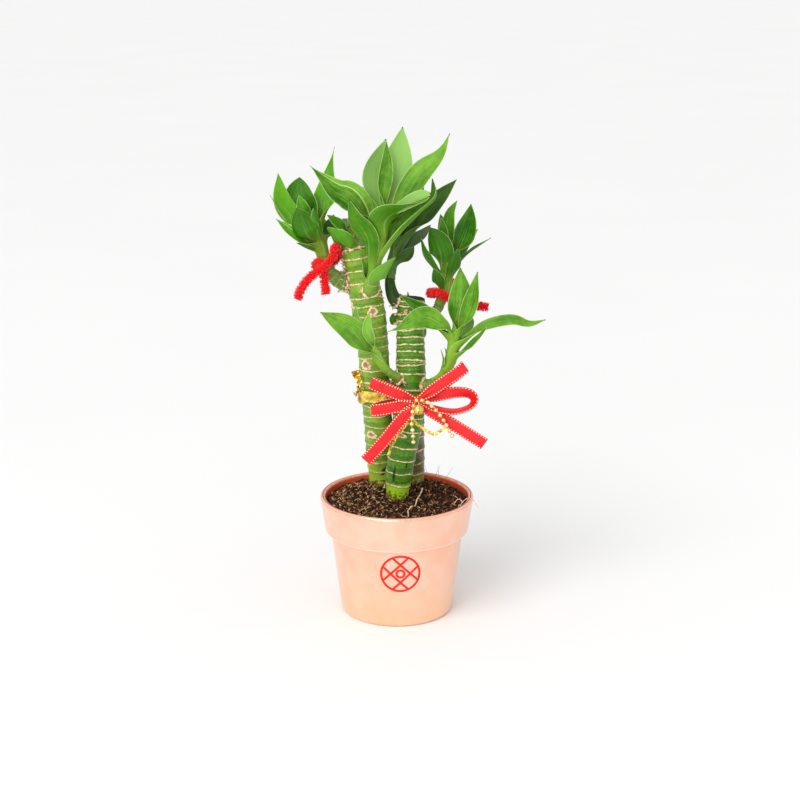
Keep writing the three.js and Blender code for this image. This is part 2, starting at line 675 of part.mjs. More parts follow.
/** One leaf: a thin curled blade along a curve that starts inside the stem. */
function makeLeaf(leaf, stemCurve, stemRadius) {
  const root = stemCurve.getPointAt(leaf.at);
  const up = stemCurve.getTangentAt(leaf.at);
  const tip = vec(leaf.tip);
  const outward = tip.clone().sub(root);
  outward.addScaledVector(up, -outward.dot(up)).normalize();
  root.addScaledVector(outward, stemRadius(leaf.at) * LEAF.rootDepth);
  const curve = curveThrough([root, ...leaf.through.map(vec), tip]);
  const inward = up.clone().multiplyScalar(LEAF.uplook).sub(outward).normalize();
  const face = leaf.face ? vec(leaf.face).normalize() : inward;
  const segments = leaf.width >= LEAF.wideFrom ? LEAF.wideSegments : LEAF.narrowSegments;
  const stations = evenSteps(LEAF.steps);
  const rings = stations.map((t) => {
    const [frame] = frames(curve, [t], inward.clone().lerp(face, smooth(t / LEAF.turnedBy)));
    const half = leafHalfWidth(t, leaf);
    const cup = THREE.MathUtils.degToRad(mix(LEAF.sheathCup, leaf.cup, smooth(t / LEAF.openBy)));
    const bend = half / (cup / 2);
    const point = (u, upper) => {
      const angle = (u * cup) / 2;
      const thickness = mix(LEAF.ribThickness, LEAF.edgeThickness, Math.abs(u));
      const reach = bend - (upper * thickness) / 2;
      return frame.point.clone()
        .addScaledVector(frame.side, reach * Math.sin(angle))
        .addScaledVector(frame.across, bend - reach * Math.cos(angle));
    };
    const across = evenSteps(segments).map((s) => 2 * s - 1);
    return [
      ...across.map((u) => point(u, 1)),
      ...across.slice().reverse().map((u) => point(u, -1)),
    ];
  });
  const count = 2 * (segments + 1);
  const cap = evenSteps(segments).slice(1).flatMap((_, j) => [
    [j, j + 1, count - 1 - j], [j + 1, count - 2 - j, count - 1 - j],
  ]);
  return solid(closedSurface(rings, cap, cap));
}

/** A leafy shoot: its stem and all its leaves, fused, with the heel cut to sit against its cane. */
function makeShoot(shoot, grownCane) {
  const curve = curveThrough(shoot.stem.map(vec));
  const radiusAt = (t) => mix(shoot.radius[0], shoot.radius[1], smooth(t / STEM.slimBy));
  const stem = solid(tube(curve, evenSteps(STEM.steps), radiusAt, STEM.sides));
  const leaves = shoot.leaves.map((leaf) => makeLeaf(leaf, curve, radiusAt));
  return wholeBody(fuse([stem, ...leaves]).subtract(grownCane));
}

// Bow, garland, tie and chenille

function makeBow() {
  const { centre, radius, neck, height, sides, steps: knotSteps } = BOW.knot;
  const ends = [-height / 2, height / 2].map((rise) => new THREE.Vector3(...centre).setZ(centre[2] + rise));
  const bulge = (t) => radius * mix(neck, 1, Math.sin(Math.PI * t));
  const knot = solid(tube(curveThrough(ends), evenSteps(knotSteps), bulge, sides));
  const runs = Object.values(BOW.runs).map(({ points, twist }) => {
    const pinched = (t) => BOW.width * mix(BOW.pinch, 1, smooth(t / BOW.pinchedFor));
    const steps = Math.round(BOW.stepsPerPoint * points.length);
    return solid(strap(points, [0, -1, 0], pinched, BOW.thickness, steps, twist));
  });
  return wholeBody(fuse([knot, ...runs]));
}

/** A thread with round beads along it. */
function makeStrand(points) {
  const curve = curveThrough(points.map(vec));
  const length = curve.getLength();
  const count = Math.floor(length / GARLAND.spacing);
  const stations = [0];
  for (let k = 0; k < count; k += 1) {
    const middle = (k + 0.5) * GARLAND.spacing;
    stations.push(...GARLAND.beadStations.map((s) => (middle + s * GARLAND.bead) / length));
  }
  stations.push(1);
  const radiusAt = (t) => {
    const along = t * length;
    const nearest = (Math.min(count - 1, Math.floor(along / GARLAND.spacing)) + 0.5) * GARLAND.spacing;
    const off = Math.abs(along - nearest);
    return Math.max(GARLAND.thread, Math.sqrt(Math.max(0, GARLAND.bead ** 2 - off ** 2)));
  };
  return solid(tube(curve, stations, radiusAt, GARLAND.sides));
}

function makeGarland() {
  const { centre, radius, segments } = GARLAND.bell;
  const bell = new THREE.SphereGeometry(radius, ...segments).translate(...centre);
  return wholeBody(fuse([solid(bell), ...GARLAND.strands.map(makeStrand)]));
}

/** Outline round the canes at one height: the furthest cane in each direction, plus an allowance. */
function caneOutline(z, allowance) {
  const circles = Object.values(CANES).map((cane) => caneAt(cane, z));
  return evenSteps(TIE.outlineSteps).slice(1).map((share) => {
    const angle = 2 * Math.PI * share;
    const [nx, ny] = [Math.cos(angle), Math.sin(angle)];
    const reach = (c) => c.x * nx + c.y * ny + c.radius;
    const far = circles.reduce((best, c) => (reach(c) > reach(best) ? c : best));
    const out = far.radius + allowance;
    return new THREE.Vector2(far.x + out * nx, far.y + out * ny);
  });
}

function makeTieBand() {
  const middle = (TIE.from + TIE.to) / 2;
  const outline = new THREE.Shape(caneOutline(middle, TIE.clearance + TIE.thickness));
  outline.holes.push(new THREE.Path(caneOutline(middle, TIE.clearance)));
  const band = new THREE.ExtrudeGeometry(outline, { depth: TIE.to - TIE.from, bevelEnabled: false });
  band.translate(0, 0, TIE.from);
  const widthAt = (t) => TIE.endWidth * mix(TIE.endPinch, 1, t);
  const ends = TIE.ends.map((points) => solid(
    strap(points, [0, -1, 0], widthAt, TIE.thickness, TIE.endSteps),
  ));
  return fuse([solid(band), ...ends]);
}

function makeTieStrips() {
  return fuse(TIE.strips.map((points) => solid(
    strap(points, [0, -1, 0], () => TIE.stripWidth, TIE.thickness, TIE.stripSteps),
  )));
}

function makeChenille(wires) {
  const { radius, tipShare, tipLength, sides, steps } = CHENILLE;
  const radiusAt = (t) => radius * mix(tipShare, 1, Math.min(1, Math.min(t, 1 - t) / tipLength));
  return wholeBody(fuse(wires.map((points) => (
    solid(tube(curveThrough(points.map(vec)), evenSteps(steps), radiusAt, sides))
  ))));
}

function makeRoot() {
  const flat = curveThrough(ROOT.path.map(([x, y]) => new THREE.Vector3(x, y, 0)));
  const laid = evenSteps(ROOT.steps).map((t) => flat.getPointAt(t)).map(({ x, y }) => (
    new THREE.Vector3(x, y, soilHeight(x, y) + ROOT.lift)
  ));
  return solid(tube(curveThrough(laid), evenSteps(ROOT.steps), () => ROOT.radius, ROOT.sides));
}

// The whole plant in its pot

addPiece('pot', makePot(), POT.color, FINISH.glaze);
const grown = {};
for (const [name, cane] of Object.entries(CANES)) {
  addPiece(name, makeCane(cane), cane.color, FINISH.cane);
  grown[name] = makeCane(cane, GAP);
}
addPiece('soil', makeSoil(Object.values(grown)), SOIL.color, FINISH.soil);
addPiece('loose_root', makeRoot(), ROOT.color, FINISH.root);
for (const [name, shoot] of Object.entries(SHOOTS)) {
  addPiece(name, makeShoot(shoot, grown[shoot.cane]), shoot.color, FINISH.leaf);
}
addPiece('tie_band', makeTieBand(), TIE.color, FINISH.foil);
addPiece('tie_strips', makeTieStrips(), TIE.color, FINISH.foil);
addPiece('ribbon_bow', makeBow(), BOW.color, FINISH.satin);
addPiece('bead_garland', makeGarland(), GARLAND.color, FINISH.bead);
for (const [name, wires] of Object.entries(CHENILLE.stems)) {
  addPiece(name, makeChenille(wires), CHENILLE.color, FINISH.pile);
}

export default model;
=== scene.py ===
"""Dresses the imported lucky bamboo: glazed pot, peat, ringed canes, leafy shoots, red bow and gold trim.

Lengths are millimetres in the part's own frame: +Z up, the origin at the centre of the pot's underside
and -Y to the front. A mesh is scaled to metres when it is made.
"""

import logging
import math
from dataclasses import dataclass, field
from enum import Enum
from functools import cache, cached_property
from itertools import product
from typing import Sequence

import bpy
import numpy as np
from numpy.typing import NDArray
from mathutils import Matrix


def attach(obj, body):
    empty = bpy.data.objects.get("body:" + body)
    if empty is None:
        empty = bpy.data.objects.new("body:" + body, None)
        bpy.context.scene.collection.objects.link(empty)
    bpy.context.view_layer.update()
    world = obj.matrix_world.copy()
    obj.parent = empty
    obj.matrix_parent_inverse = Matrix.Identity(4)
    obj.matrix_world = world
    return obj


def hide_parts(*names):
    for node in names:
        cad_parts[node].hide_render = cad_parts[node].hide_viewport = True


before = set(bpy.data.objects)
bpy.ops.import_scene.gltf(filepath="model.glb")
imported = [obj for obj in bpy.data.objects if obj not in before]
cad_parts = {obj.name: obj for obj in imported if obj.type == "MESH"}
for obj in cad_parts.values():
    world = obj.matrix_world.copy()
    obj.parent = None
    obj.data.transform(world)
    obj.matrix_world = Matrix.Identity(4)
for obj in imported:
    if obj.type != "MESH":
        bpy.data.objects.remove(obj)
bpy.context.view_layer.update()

LOG = logging.getLogger("lucky_bamboo")

Array = NDArray[np.float64]
Indices = NDArray[np.int64]
Point = tuple[float, float, float]
Socket = bpy.types.NodeSocket
Tree = bpy.types.NodeTree
Material = bpy.types.Material

MM = 0.001
TURN = 2 * math.pi
FRONT = (0.0, -1.0, 0.0)
RIGHT = (1.0, 0.0, 0.0)
UP = (0.0, 0.0, 1.0)
BODY = "root"


class Slot(Enum):
    """The record's material slots."""

    GLAZE = "pot_glaze"
    CANE_LIGHT = "cane_light"
    CANE_DARK = "cane_dark"
    SOIL = "soil"
    ROOT = "root"
    LEAF = "leaf"
    LEAF_DARK = "leaf_dark"
    FOIL = "gold_foil"
    RIBBON = "red_ribbon"
    BEADS = "gold_beads"
    CHENILLE = "red_chenille"


# Numbers and curves


def steps(count: int) -> Array:
    """Evenly spaced shares from 0 to 1."""
    return np.linspace(0.0, 1.0, count + 1)


def around(count: int) -> Array:
    """Evenly spaced angles of a full turn."""
    return np.linspace(0.0, TURN, count, endpoint=False)


def smooth(value: Array | float) -> Array:
    """Smoothstep: 3x² - 2x³, held at 0 and at 1."""
    held = np.clip(value, 0.0, 1.0)
    return held * held * (3.0 - 2.0 * held)


def mix(start: Array | float, end: Array | float, share: Array | float) -> Array:
    """Straight blend from start to end."""
    return start + (end - start) * share


def unit(vectors: Array) -> Array:
    """Vectors scaled to length 1 along their last axis."""
    return vectors / np.linalg.norm(vectors, axis=-1, keepdims=True)


def xyz(x: Array | float, y: Array | float, z: Array | float) -> Array:
    """Places from their coordinates, broadcast to each other."""
    return np.stack(np.broadcast_arrays(x, y, z), axis=-1)


def reach_along(points: Array) -> Array:
    """Length along a line of points, from the first to each."""
    return np.concatenate([[0.0], np.cumsum(np.linalg.norm(np.diff(points, axis=0), axis=1))])


def read_rows(at: Array, knots: Array, table: Array) -> Array:
    """A table's rows at places between its knots, straight between them."""
    return np.stack([np.interp(at, knots, column) for column in table.T], axis=-1)


def ways_round(first: Array, second: Array, angle: Array) -> Array:
    """Directions first · cos a + second · sin a, for each row and angle."""
    return first[:, None] * np.cos(angle)[:, None] + second[:, None] * np.sin(angle)[:, None]


def twisted(first: Array, second: Array, angle: Array) -> tuple[Array, Array]:
    """Two directions at right angles, both turned by an angle towards the second."""
    cosine, sine = np.cos(angle), np.sin(angle)
    return first * cosine + second * sine, second * cosine - first * sine


def moved(points: Array, *moves: tuple[Array, Array]) -> Array:
    """Rings of points: each row's own point, moved along its ways.

    Args:
        points: One point for each row.
        moves: A way for each row, with how far each of the row's points moves along it.

    Returns:
        Places by row and by point in the row.
    """
    rings = points[:, None]
    for way, amount in moves:
        rings = rings + way[:, None] * amount[..., None]
    return rings


def linear(code: str) -> tuple[float, float, float, float]:
    """Scene-linear colour of an sRGB code.

    Args:
        code: Six hexadecimal digits.

    Returns:
        Red, green and blue from 0 to 1, and full opacity.
    """
    shares = (int(code[i:i + 2], 16) / 255.0 for i in (0, 2, 4))
    red, green, blue = (s / 12.92 if s <= 0.04045 else ((s + 0.055) / 1.055) ** 2.4 for s in shares)
    return (red, green, blue, 1.0)


def cloud_noise(points: Array, cell: float, seed: int) -> Array:
    """Smooth noise from -1 to 1: random values at the corners of cubes, blended between by smoothstep.

    Args:
        points: Places, with x, y and z along the last axis.
        cell: Side of a cube.
        seed: Seed of the random values.

    Returns:
        One value for each place.
    """
    size = 16
    lattice = np.random.default_rng(seed).uniform(-1.0, 1.0, (size, size, size))
    scaled = points / cell
    corner = np.floor(scaled).astype(int)
    share = smooth(scaled - corner)
    total = np.zeros(points.shape[:-1])
    for offset in product((0, 1), repeat=3):
        weight = np.prod(np.where(np.array(offset, bool), share, 1.0 - share), axis=-1)
        index = (corner + offset) % size
        total += weight * lattice[index[..., 0], index[..., 1], index[..., 2]]
    return total


@dataclass(frozen=True)
class Path:
    """Stations along a smooth curve: its place, direction and share of the length at each, and its length."""

    points: Array
    tangents: Array
    shares: Array
    length: float

    @classmethod
    def through(cls, controls: Sequence[Sequence[float]], shares: Array) -> "Path":
        """A uniform Catmull-Rom curve through the points, read at shares of its length.

        Args:
            controls: Points that the curve runs through.
            shares: Rising shares from 0 to 1.

        Returns:
            The stations.
        """
        knots = np.asarray(controls, float)
        knots = np.vstack([2 * knots[0] - knots[1], knots, 2 * knots[-1] - knots[-2]])
        count = len(knots) - 3
        p0, p1, p2, p3 = (knots[i:i + count, None, :] for i in range(4))
        s = np.linspace(0.0, 1.0, 48, endpoint=False)[:, None]
        spans = p1 + 0.5 * (
            (p2 - p0) * s
            + (2 * p0 - 5 * p1 + 4 * p2 - p3) * s**2
            + (3 * p1 - p0 - 3 * p2 + p3) * s**3
        )
        dense = np.vstack([spans.reshape(-1, 3), knots[-2]])
        reach = reach_along(dense)
        slopes = unit(np.gradient(dense, reach, axis=0))
        read = read_rows(np.asarray(shares) * reach[-1], reach, np.hstack([dense, slopes]))
        return cls(read[:, :3], unit(read[:, 3:]), np.asarray(shares, float), float(reach[-1]))

    def carried(self, reference: Sequence[float]) -> tuple[Array, Array]:
        """Two directions across the curve at each station, carried along it without twist.

        Args:
            reference: Where the first direction points at the start.

        Returns:
            The direction across, and the side direction, which is tangent times across.
        """
        across = np.empty_like(self.points)
        current = np.asarray(reference, float)
        for row, tangent in enumerate(self.tangents):
            current = unit(current - tangent * float(current @ tangent))
            across[row] = current
        return across, np.cross(self.tangents, across)


# Skins of quads and triangles


@dataclass
class Shell:
    """A closed skin: places, faces by point number, and named values at each point for its material."""

    points: Array
    quads: Indices
    triangles: Indices
    values: dict[str, Array] = field(default_factory=dict)

    @classmethod
    def joined(cls, shells: Sequence["Shell"]) -> "Shell":
        """Several shells as one.

        Args:
            shells: The shells.

        Returns:
            One shell with the values of all; a value that a shell lacks is 0 on it.
        """
        starts = np.cumsum([0] + [len(s.points) for s in shells])
        names = sorted({name for s in shells for name in s.values})
        return cls(
            np.vstack([s.points for s in shells]),
            np.vstack([s.quads + start for s, start in zip(shells, starts)]),
            np.vstack([s.triangles + start for s, start in zip(shells, starts)]),
            {n: np.concatenate([s.values.get(n, np.zeros(len(s.points))) for s in shells]) for n in names},
        )


def ring_quads(rows: int, columns: int, looped: bool) -> Indices:
    """Faces between rings of points.

    Args:
        rows: How many rings there are.
        columns: Points in a ring.
        looped: Whether the last ring joins the first.

    Returns:
        Four point numbers for each face.
    """
    index = np.arange(rows * columns).reshape(rows, columns)
    index = np.hstack([index, index[:, :1]])
    if looped:
        index = np.vstack([index, index[:1]])
    corners = (index[:-1, :-1], index[:-1, 1:], index[1:, 1:], index[1:, :-1])
    return np.stack(corners, axis=-1).reshape(-1, 4)


def skin(rings: Array, looped: bool = False, **values: Array) -> Shell:
    """Rings of points joined into a closed skin.

    Args:
        rings: Places by ring and by point round the ring, counter-clockwise about the way along.
        looped: Whether the last ring joins the first. If not, a fan of triangles closes each end.
        values: Named values that broadcast over the rings' points.

    Returns:
        The skin.
    """
    rows, columns = rings.shape[:2]
    count = rows * columns
    spread = {name: np.broadcast_to(value, (rows, columns)).astype(float) for name, value in values.items()}
    quads = ring_quads(rows, columns, looped)
    if looped:
        flat = {name: value.reshape(-1) for name, value in spread.items()}
        return Shell(rings.reshape(-1, 3), quads, np.empty((0, 3), int), flat)
    here = np.arange(columns)
    after = np.roll(here, -1)
    last = count - columns
    start_fan = np.stack([np.full(columns, count), after, here], axis=-1)
    end_fan = np.stack([np.full(columns, count + 1), last + here, last + after], axis=-1)
    points = np.vstack([rings.reshape(-1, 3), rings[[0, -1]].mean(axis=1)])
    flat = {n: np.concatenate([v.reshape(-1), v[[0, -1]].mean(axis=1)]) for n, v in spread.items()}
    return Shell(points, quads, np.vstack([start_fan, end_fan]), flat)


def tube(path: Path, radius: Array | float, sides: int, reference: Point = RIGHT, **values: Array) -> Shell:
    """A round skin along a path: middle + radius · (across · cos a + side · sin a)."""
    reach = np.broadcast_to(np.asarray(radius, float).reshape(-1, 1), (len(path.points), sides))[..., None]
    return skin(path.points[:, None] + reach * ways_round(*path.carried(reference), around(sides)), **values)


def turned(profile: Array, columns: int, **values: Array) -> Shell:
    """A skin turned round the Z axis: (r · cos a, r · sin a, z) for each [r, z] of the profile."""
    angle = around(columns)
    radius, height = profile[:, :1], profile[:, 1:]
    return skin(xyz(radius * np.cos(angle), radius * np.sin(angle), height), **values)


def ball(rows: int, columns: int) -> Shell:
    """A ball of radius 1, from rings at even steps from pole to pole.

    Args:
        rows: How many rings it has.
        columns: Points in a ring.

    Returns:
        The ball.
    """
    fall = np.linspace(-0.5 * math.pi, 0.5 * math.pi, rows + 2)[1:-1]
    shell = turned(np.stack([np.cos(fall), np.sin(fall)], axis=-1), columns)
    shell.points[-2:] = ((0.0, 0.0, -1.0), UP)
    return shell


def strap_section(columns: int) -> tuple[Array, Array]:
    """Round a flat strap: the share across, from 1 to -1 and back, and 1 on its face or -1 on its back."""
    top = np.linspace(1.0, -1.0, columns)
    return np.concatenate([top, top[::-1]]), np.repeat([1.0, -1.0], columns)


def scattered(shape: Shell, places: Array, axes: Array, **values: Array) -> Shell:
    """Copies of a small shape: each of its points p goes to place + p · axes.

    Args:
        shape: The shape to repeat.
        places: Where each copy's own origin goes.
        axes: Three scaled directions for each copy, which its x, y and z turn into.
        values: Named values, one for each copy.

    Returns:
        All copies in one shell.
    """
    count, size = len(places), len(shape.points)
    points = places[:, None] + np.einsum("pk,nkj->npj", shape.points, axes)
    start = (np.arange(count) * size)[:, None, None]
    quads, triangles = (shape.quads + start).reshape(-1, 4), (shape.triangles + start).reshape(-1, 3)
    repeated = {name: np.repeat(value, size) for name, value in values.items()}
    return Shell(points.reshape(-1, 3), quads, triangles, repeated)


def random_axes(rng: np.random.Generator, count: int) -> Array:
    """Random right-handed sets of three directions, from pairs of random vectors.

    Args:
        rng: Source of the vectors.
        count: How many sets are wanted.

    Returns:
        Three directions for each set.
    """
    first = unit(rng.normal(size=(count, 3)))
    second = unit(np.cross(first, rng.normal(size=(count, 3))))
    return np.stack([first, second, np.cross(first, second)], axis=1)


def lying_axes(rng: np.random.Generator, count: int, lift: float) -> Array:
    """Random sets of three directions whose first lies nearly level.

    Args:
        rng: Source of the directions.
        count: How many sets are wanted.
        lift: Steepest rise or fall of the first direction.

    Returns:
        Three directions for each set.
    """
    yaw = rng.uniform(0.0, TURN, count)
    rise = rng.uniform(-lift, lift, count)
    first = unit(xyz(np.cos(yaw), np.sin(yaw), rise))
    second = unit(np.cross(np.broadcast_to(UP, first.shape), first))
    return np.stack([first, second, np.cross(first, second)], axis=1)


def make_piece(name: str, shell: Shell, material: Material, slot: Slot,
               replaces: Sequence[str] = (), faceted: bool = False) -> None:
    """Puts a shell into the scene as one piece of the plant, at the origin and riding on its body.

    Args:
        name: The piece's name.
        shell: Its skin.
        material: Its finish.
        slot: The record's slot that the finish stands for; it is not used.
        replaces: CAD nodes that the piece stands for.
        faceted: Whether its faces stay flat.
    """
    mesh = bpy.data.meshes.new(name)
    mesh.vertices.add(len(shell.points))
    mesh.vertices.foreach_set("co", (shell.points * MM).astype(np.float32).reshape(-1))
    corners = np.concatenate([shell.quads.reshape(-1), shell.triangles.reshape(-1)])
    mesh.loops.add(len(corners))
    mesh.loops.foreach_set("vertex_index", corners.astype(np.int32))
    sizes = np.repeat([4, 3], [len(shell.quads), len(shell.triangles)])
    mesh.polygons.add(len(sizes))
    mesh.polygons.foreach_set("loop_start", (np.cumsum(sizes) - sizes).astype(np.int32))
    mesh.polygons.foreach_set("use_smooth", np.full(len(sizes), not faceted))
    for value_name, value in shell.values.items():
        mesh.attributes.new(value_name, "FLOAT", "POINT").data.foreach_set("value", value.astype(np.float32))
    mesh.update(calc_edges=True)
    mesh.validate()
    mesh.materials.append(material)
    piece = bpy.data.objects.new(name, mesh)
    bpy.context.scene.collection.objects.link(piece)
    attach(piece, BODY)
    if replaces:
        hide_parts(*replaces)
    LOG.info("%s: %d points, %d faces", name, len(shell.points), len(sizes))


# Finishes


class Nodes:
    """Builds a node tree with short calls. Each call gives the socket that it puts out."""

    def __init__(self, tree: Tree) -> None:
        """Keeps the tree that the nodes go into."""
        self.tree = tree

    def feed(self, socket: Socket, value: object) -> None:
        """Links a socket to an input, or sets the input's own value; text is an sRGB code."""
        if isinstance(value, Socket):
            self.tree.links.new(value, socket)
        else:
            socket.default_value = linear(value) if isinstance(value, str) else value

    def add(self, kind: str, output: str | int, inputs: dict, **settings: object) -> Socket:
        """Adds a node.

        Args:
            kind: The node's type name, without its ShaderNode prefix.
            output: Name or number of the output to give.
            inputs: Values or sockets for its inputs, by name or number.
            settings: Properties of the node.

        Returns:
            The output.
        """
        node = self.tree.nodes.new(f"ShaderNode{kind}")
        for key, setting in settings.items():
            setattr(node, key, setting)
        for key, value in inputs.items():
            self.feed(node.inputs[key], value)
        return node.outputs[output]

    def value(self, name: str) -> Socket:
        """A named value of the mesh."""
        return self.add("Attribute", "Fac", {}, attribute_name=name)

    def scaled(self, vector: object, factors: Point) -> Socket:
        """A vector with each part times its factor."""
        return self.add("VectorMath", 0, {0: vector, 1: factors}, operation="MULTIPLY")

    @cached_property
    def place(self) -> Socket:
        """Object coordinates in millimetres."""
        return self.scaled(self.add("TexCoord", "Object", {}), (1 / MM, 1 / MM, 1 / MM))

    @cached_property
    def height(self) -> Socket:
        """Height above the pot's underside, in millimetres."""
        return self.add("SeparateXYZ", "Z", {0: self.place})

    def math(self, operation: str, first: object, second: object = 0.0) -> Socket:
        """One sum of two values."""
        return self.add("Math", 0, {0: first, 1: second}, operation=operation)

    def plus(self, first: object, second: object) -> Socket:
        """Two values added."""
        return self.math("ADD", first, second)

    def times(self, first: object, second: object) -> Socket:
        """Two values multiplied."""
        return self.math("MULTIPLY", first, second)

    def most(self, first: object, second: object) -> Socket:
        """The greater of two values."""
        return self.math("MAXIMUM", first, second)

    def noise(self, vector: object, scale: object, detail: float = 2.0, rough: float = 0.5) -> Socket:
        """Cloudy noise from 0 to 1; scale is repeats for each unit of the vector."""
        inputs = {"Vector": vector, "Scale": scale, "Detail": detail, "Roughness": rough}
        return self.add("TexNoise", "Fac", inputs)

    def between(self, value: object, low: float, high: float, to_low: float = 0.0,
                to_high: float = 1.0) -> Socket:
        """Smooth step of a value from low to high, put out from to_low to to_high."""
        inputs = {"Value": value, "From Min": low, "From Max": high, "To Min": to_low, "To Max": to_high}
        return self.add("MapRange", "Result", inputs, interpolation_type="SMOOTHSTEP")

    def blend(self, share: object, first: object, second: object) -> Socket:
        """Blend of two colours."""
        return self.add("Mix", "Result", {"Factor": share, "A": first, "B": second}, data_type="RGBA")

    def ramp(self, value: object, *stops: tuple[float, str]) -> Socket:
        """Colour at a value, blended between stops.

        Args:
            value: The value.
            stops: Positions and sRGB codes, the first at 0 and the last at 1.

        Returns:
            The colour.
        """
        colour = self.add("ValToRGB", "Color", {"Fac": value})
        elements = colour.node.color_ramp.elements
        elements[0].color, elements[-1].color = linear(stops[0][1]), linear(stops[-1][1])
        for position, code in stops[1:-1]:
            elements.new(position).color = linear(code)
        return colour

    def bump(self, height: object, depth: float) -> Socket:
        """Normal of a surface raised by height times depth, in millimetres."""
        return self.add("Bump", "Normal", {"Strength": 1.0, "Distance": depth * MM, "Height": height})


def new_group(name: str, output: str, **inputs: float | None) -> tuple[Nodes, dict[str, Socket], Socket]:
    """An empty shared effect that puts out one number.

    Args:
        name: The group's name.
        output: Name of the number.
        inputs: Default of each input, or None for one that is a place.

    Returns:
        The builder of its nodes, its inputs by name, and the socket to feed the number to.
    """
    tree = bpy.data.node_groups.new(name, "ShaderNodeTree")
    for key, default in inputs.items():
        kind = "NodeSocketVector" if default is None else "NodeSocketFloat"
        socket = tree.interface.new_socket(key, in_out="INPUT", socket_type=kind)
        if default is not None:
            socket.default_value = default
    tree.interface.new_socket(output, in_out="OUTPUT", socket_type="NodeSocketFloat")
    entry, leave = (tree.nodes.new(f"NodeGroup{end}") for end in ("Input", "Output"))
    return Nodes(tree), {key: entry.outputs[key] for key in inputs}, leave.inputs[output]


@cache
def cloud_tree() -> Tree:
    """Coarse and fine noise together: 0.7 · coarse + 0.3 · fine."""
    nodes, inputs, tone = new_group("cloudy_tone", "Tone", Place=None, Scale=0.2, Fine=6.0)
    coarse = nodes.noise(inputs["Place"], inputs["Scale"])
    fine = nodes.noise(inputs["Place"], nodes.times(inputs["Scale"], inputs["Fine"]), 1.0)
    nodes.feed(tone, nodes.plus(nodes.times(coarse, 0.7), nodes.times(fine, 0.3)))
    return nodes.tree


@cache
def frayed_tree() -> Tree:
    """A mask that is 1 within a width of a line and whose border is frayed by noise."""
    nodes, inputs, mask = new_group("frayed_line", "Mask", Place=None, Distance=0.0, Width=0.5, Fray=0.3,
                                    Softness=0.12, Scale=0.8)
    noise = nodes.noise(inputs["Place"], inputs["Scale"])
    shift = nodes.times(nodes.math("SUBTRACT", noise, 0.5), inputs["Fray"])
    away = nodes.math("ABSOLUTE", inputs["Distance"])
    depth = nodes.math("SUBTRACT", inputs["Width"], nodes.plus(away, shift))
    spans = {"Value": depth, "From Min": 0.0, "From Max": inputs["Softness"]}
    nodes.feed(mask, nodes.add("MapRange", "Result", spans))
    return nodes.tree


class Surface(Nodes):
    """The nodes of a new material, whose Principled shader they feed."""

    def __init__(self, name: str, **settings: float) -> None:
        """Makes the material; settings are the shader's own values, with _ for a space in a name."""
        self.material = bpy.data.materials.new(name)
        self.material.use_nodes = True
        super().__init__(self.material.node_tree)
        self.dress(**settings)

    def dress(self, **inputs: object) -> Material:
        """Feeds the shader.

        Args:
            inputs: Links or values by the input's name, with _ for a space.

        Returns:
            The material.
        """
        for key, value in inputs.items():
            self.feed(self.tree.nodes["Principled BSDF"].inputs[key.replace("_", " ")], value)
        return self.material

    def effect(self, tree: Tree, **inputs: object) -> Socket:
        """Places a shared effect, with its inputs by name, and gives what it puts out."""
        return self.add("Group", 0, {"Place": self.place, **inputs}, node_tree=tree)

    def cloud(self, scale: float, fine: float) -> Socket:
        """Cloudy tone with so many coarse clouds for each millimetre, and fine ones so much smaller."""
        return self.effect(cloud_tree(), Scale=scale, Fine=fine)

    def frayed(self, distance: object, width: float, fray: float, softness: float, scale: float) -> Socket:
        """Mask within a width of a line; fray is how far noise shifts its border, softness its fade."""
        return self.effect(frayed_tree(), Distance=distance, Width=width, Fray=fray, Softness=softness,
                           Scale=scale)


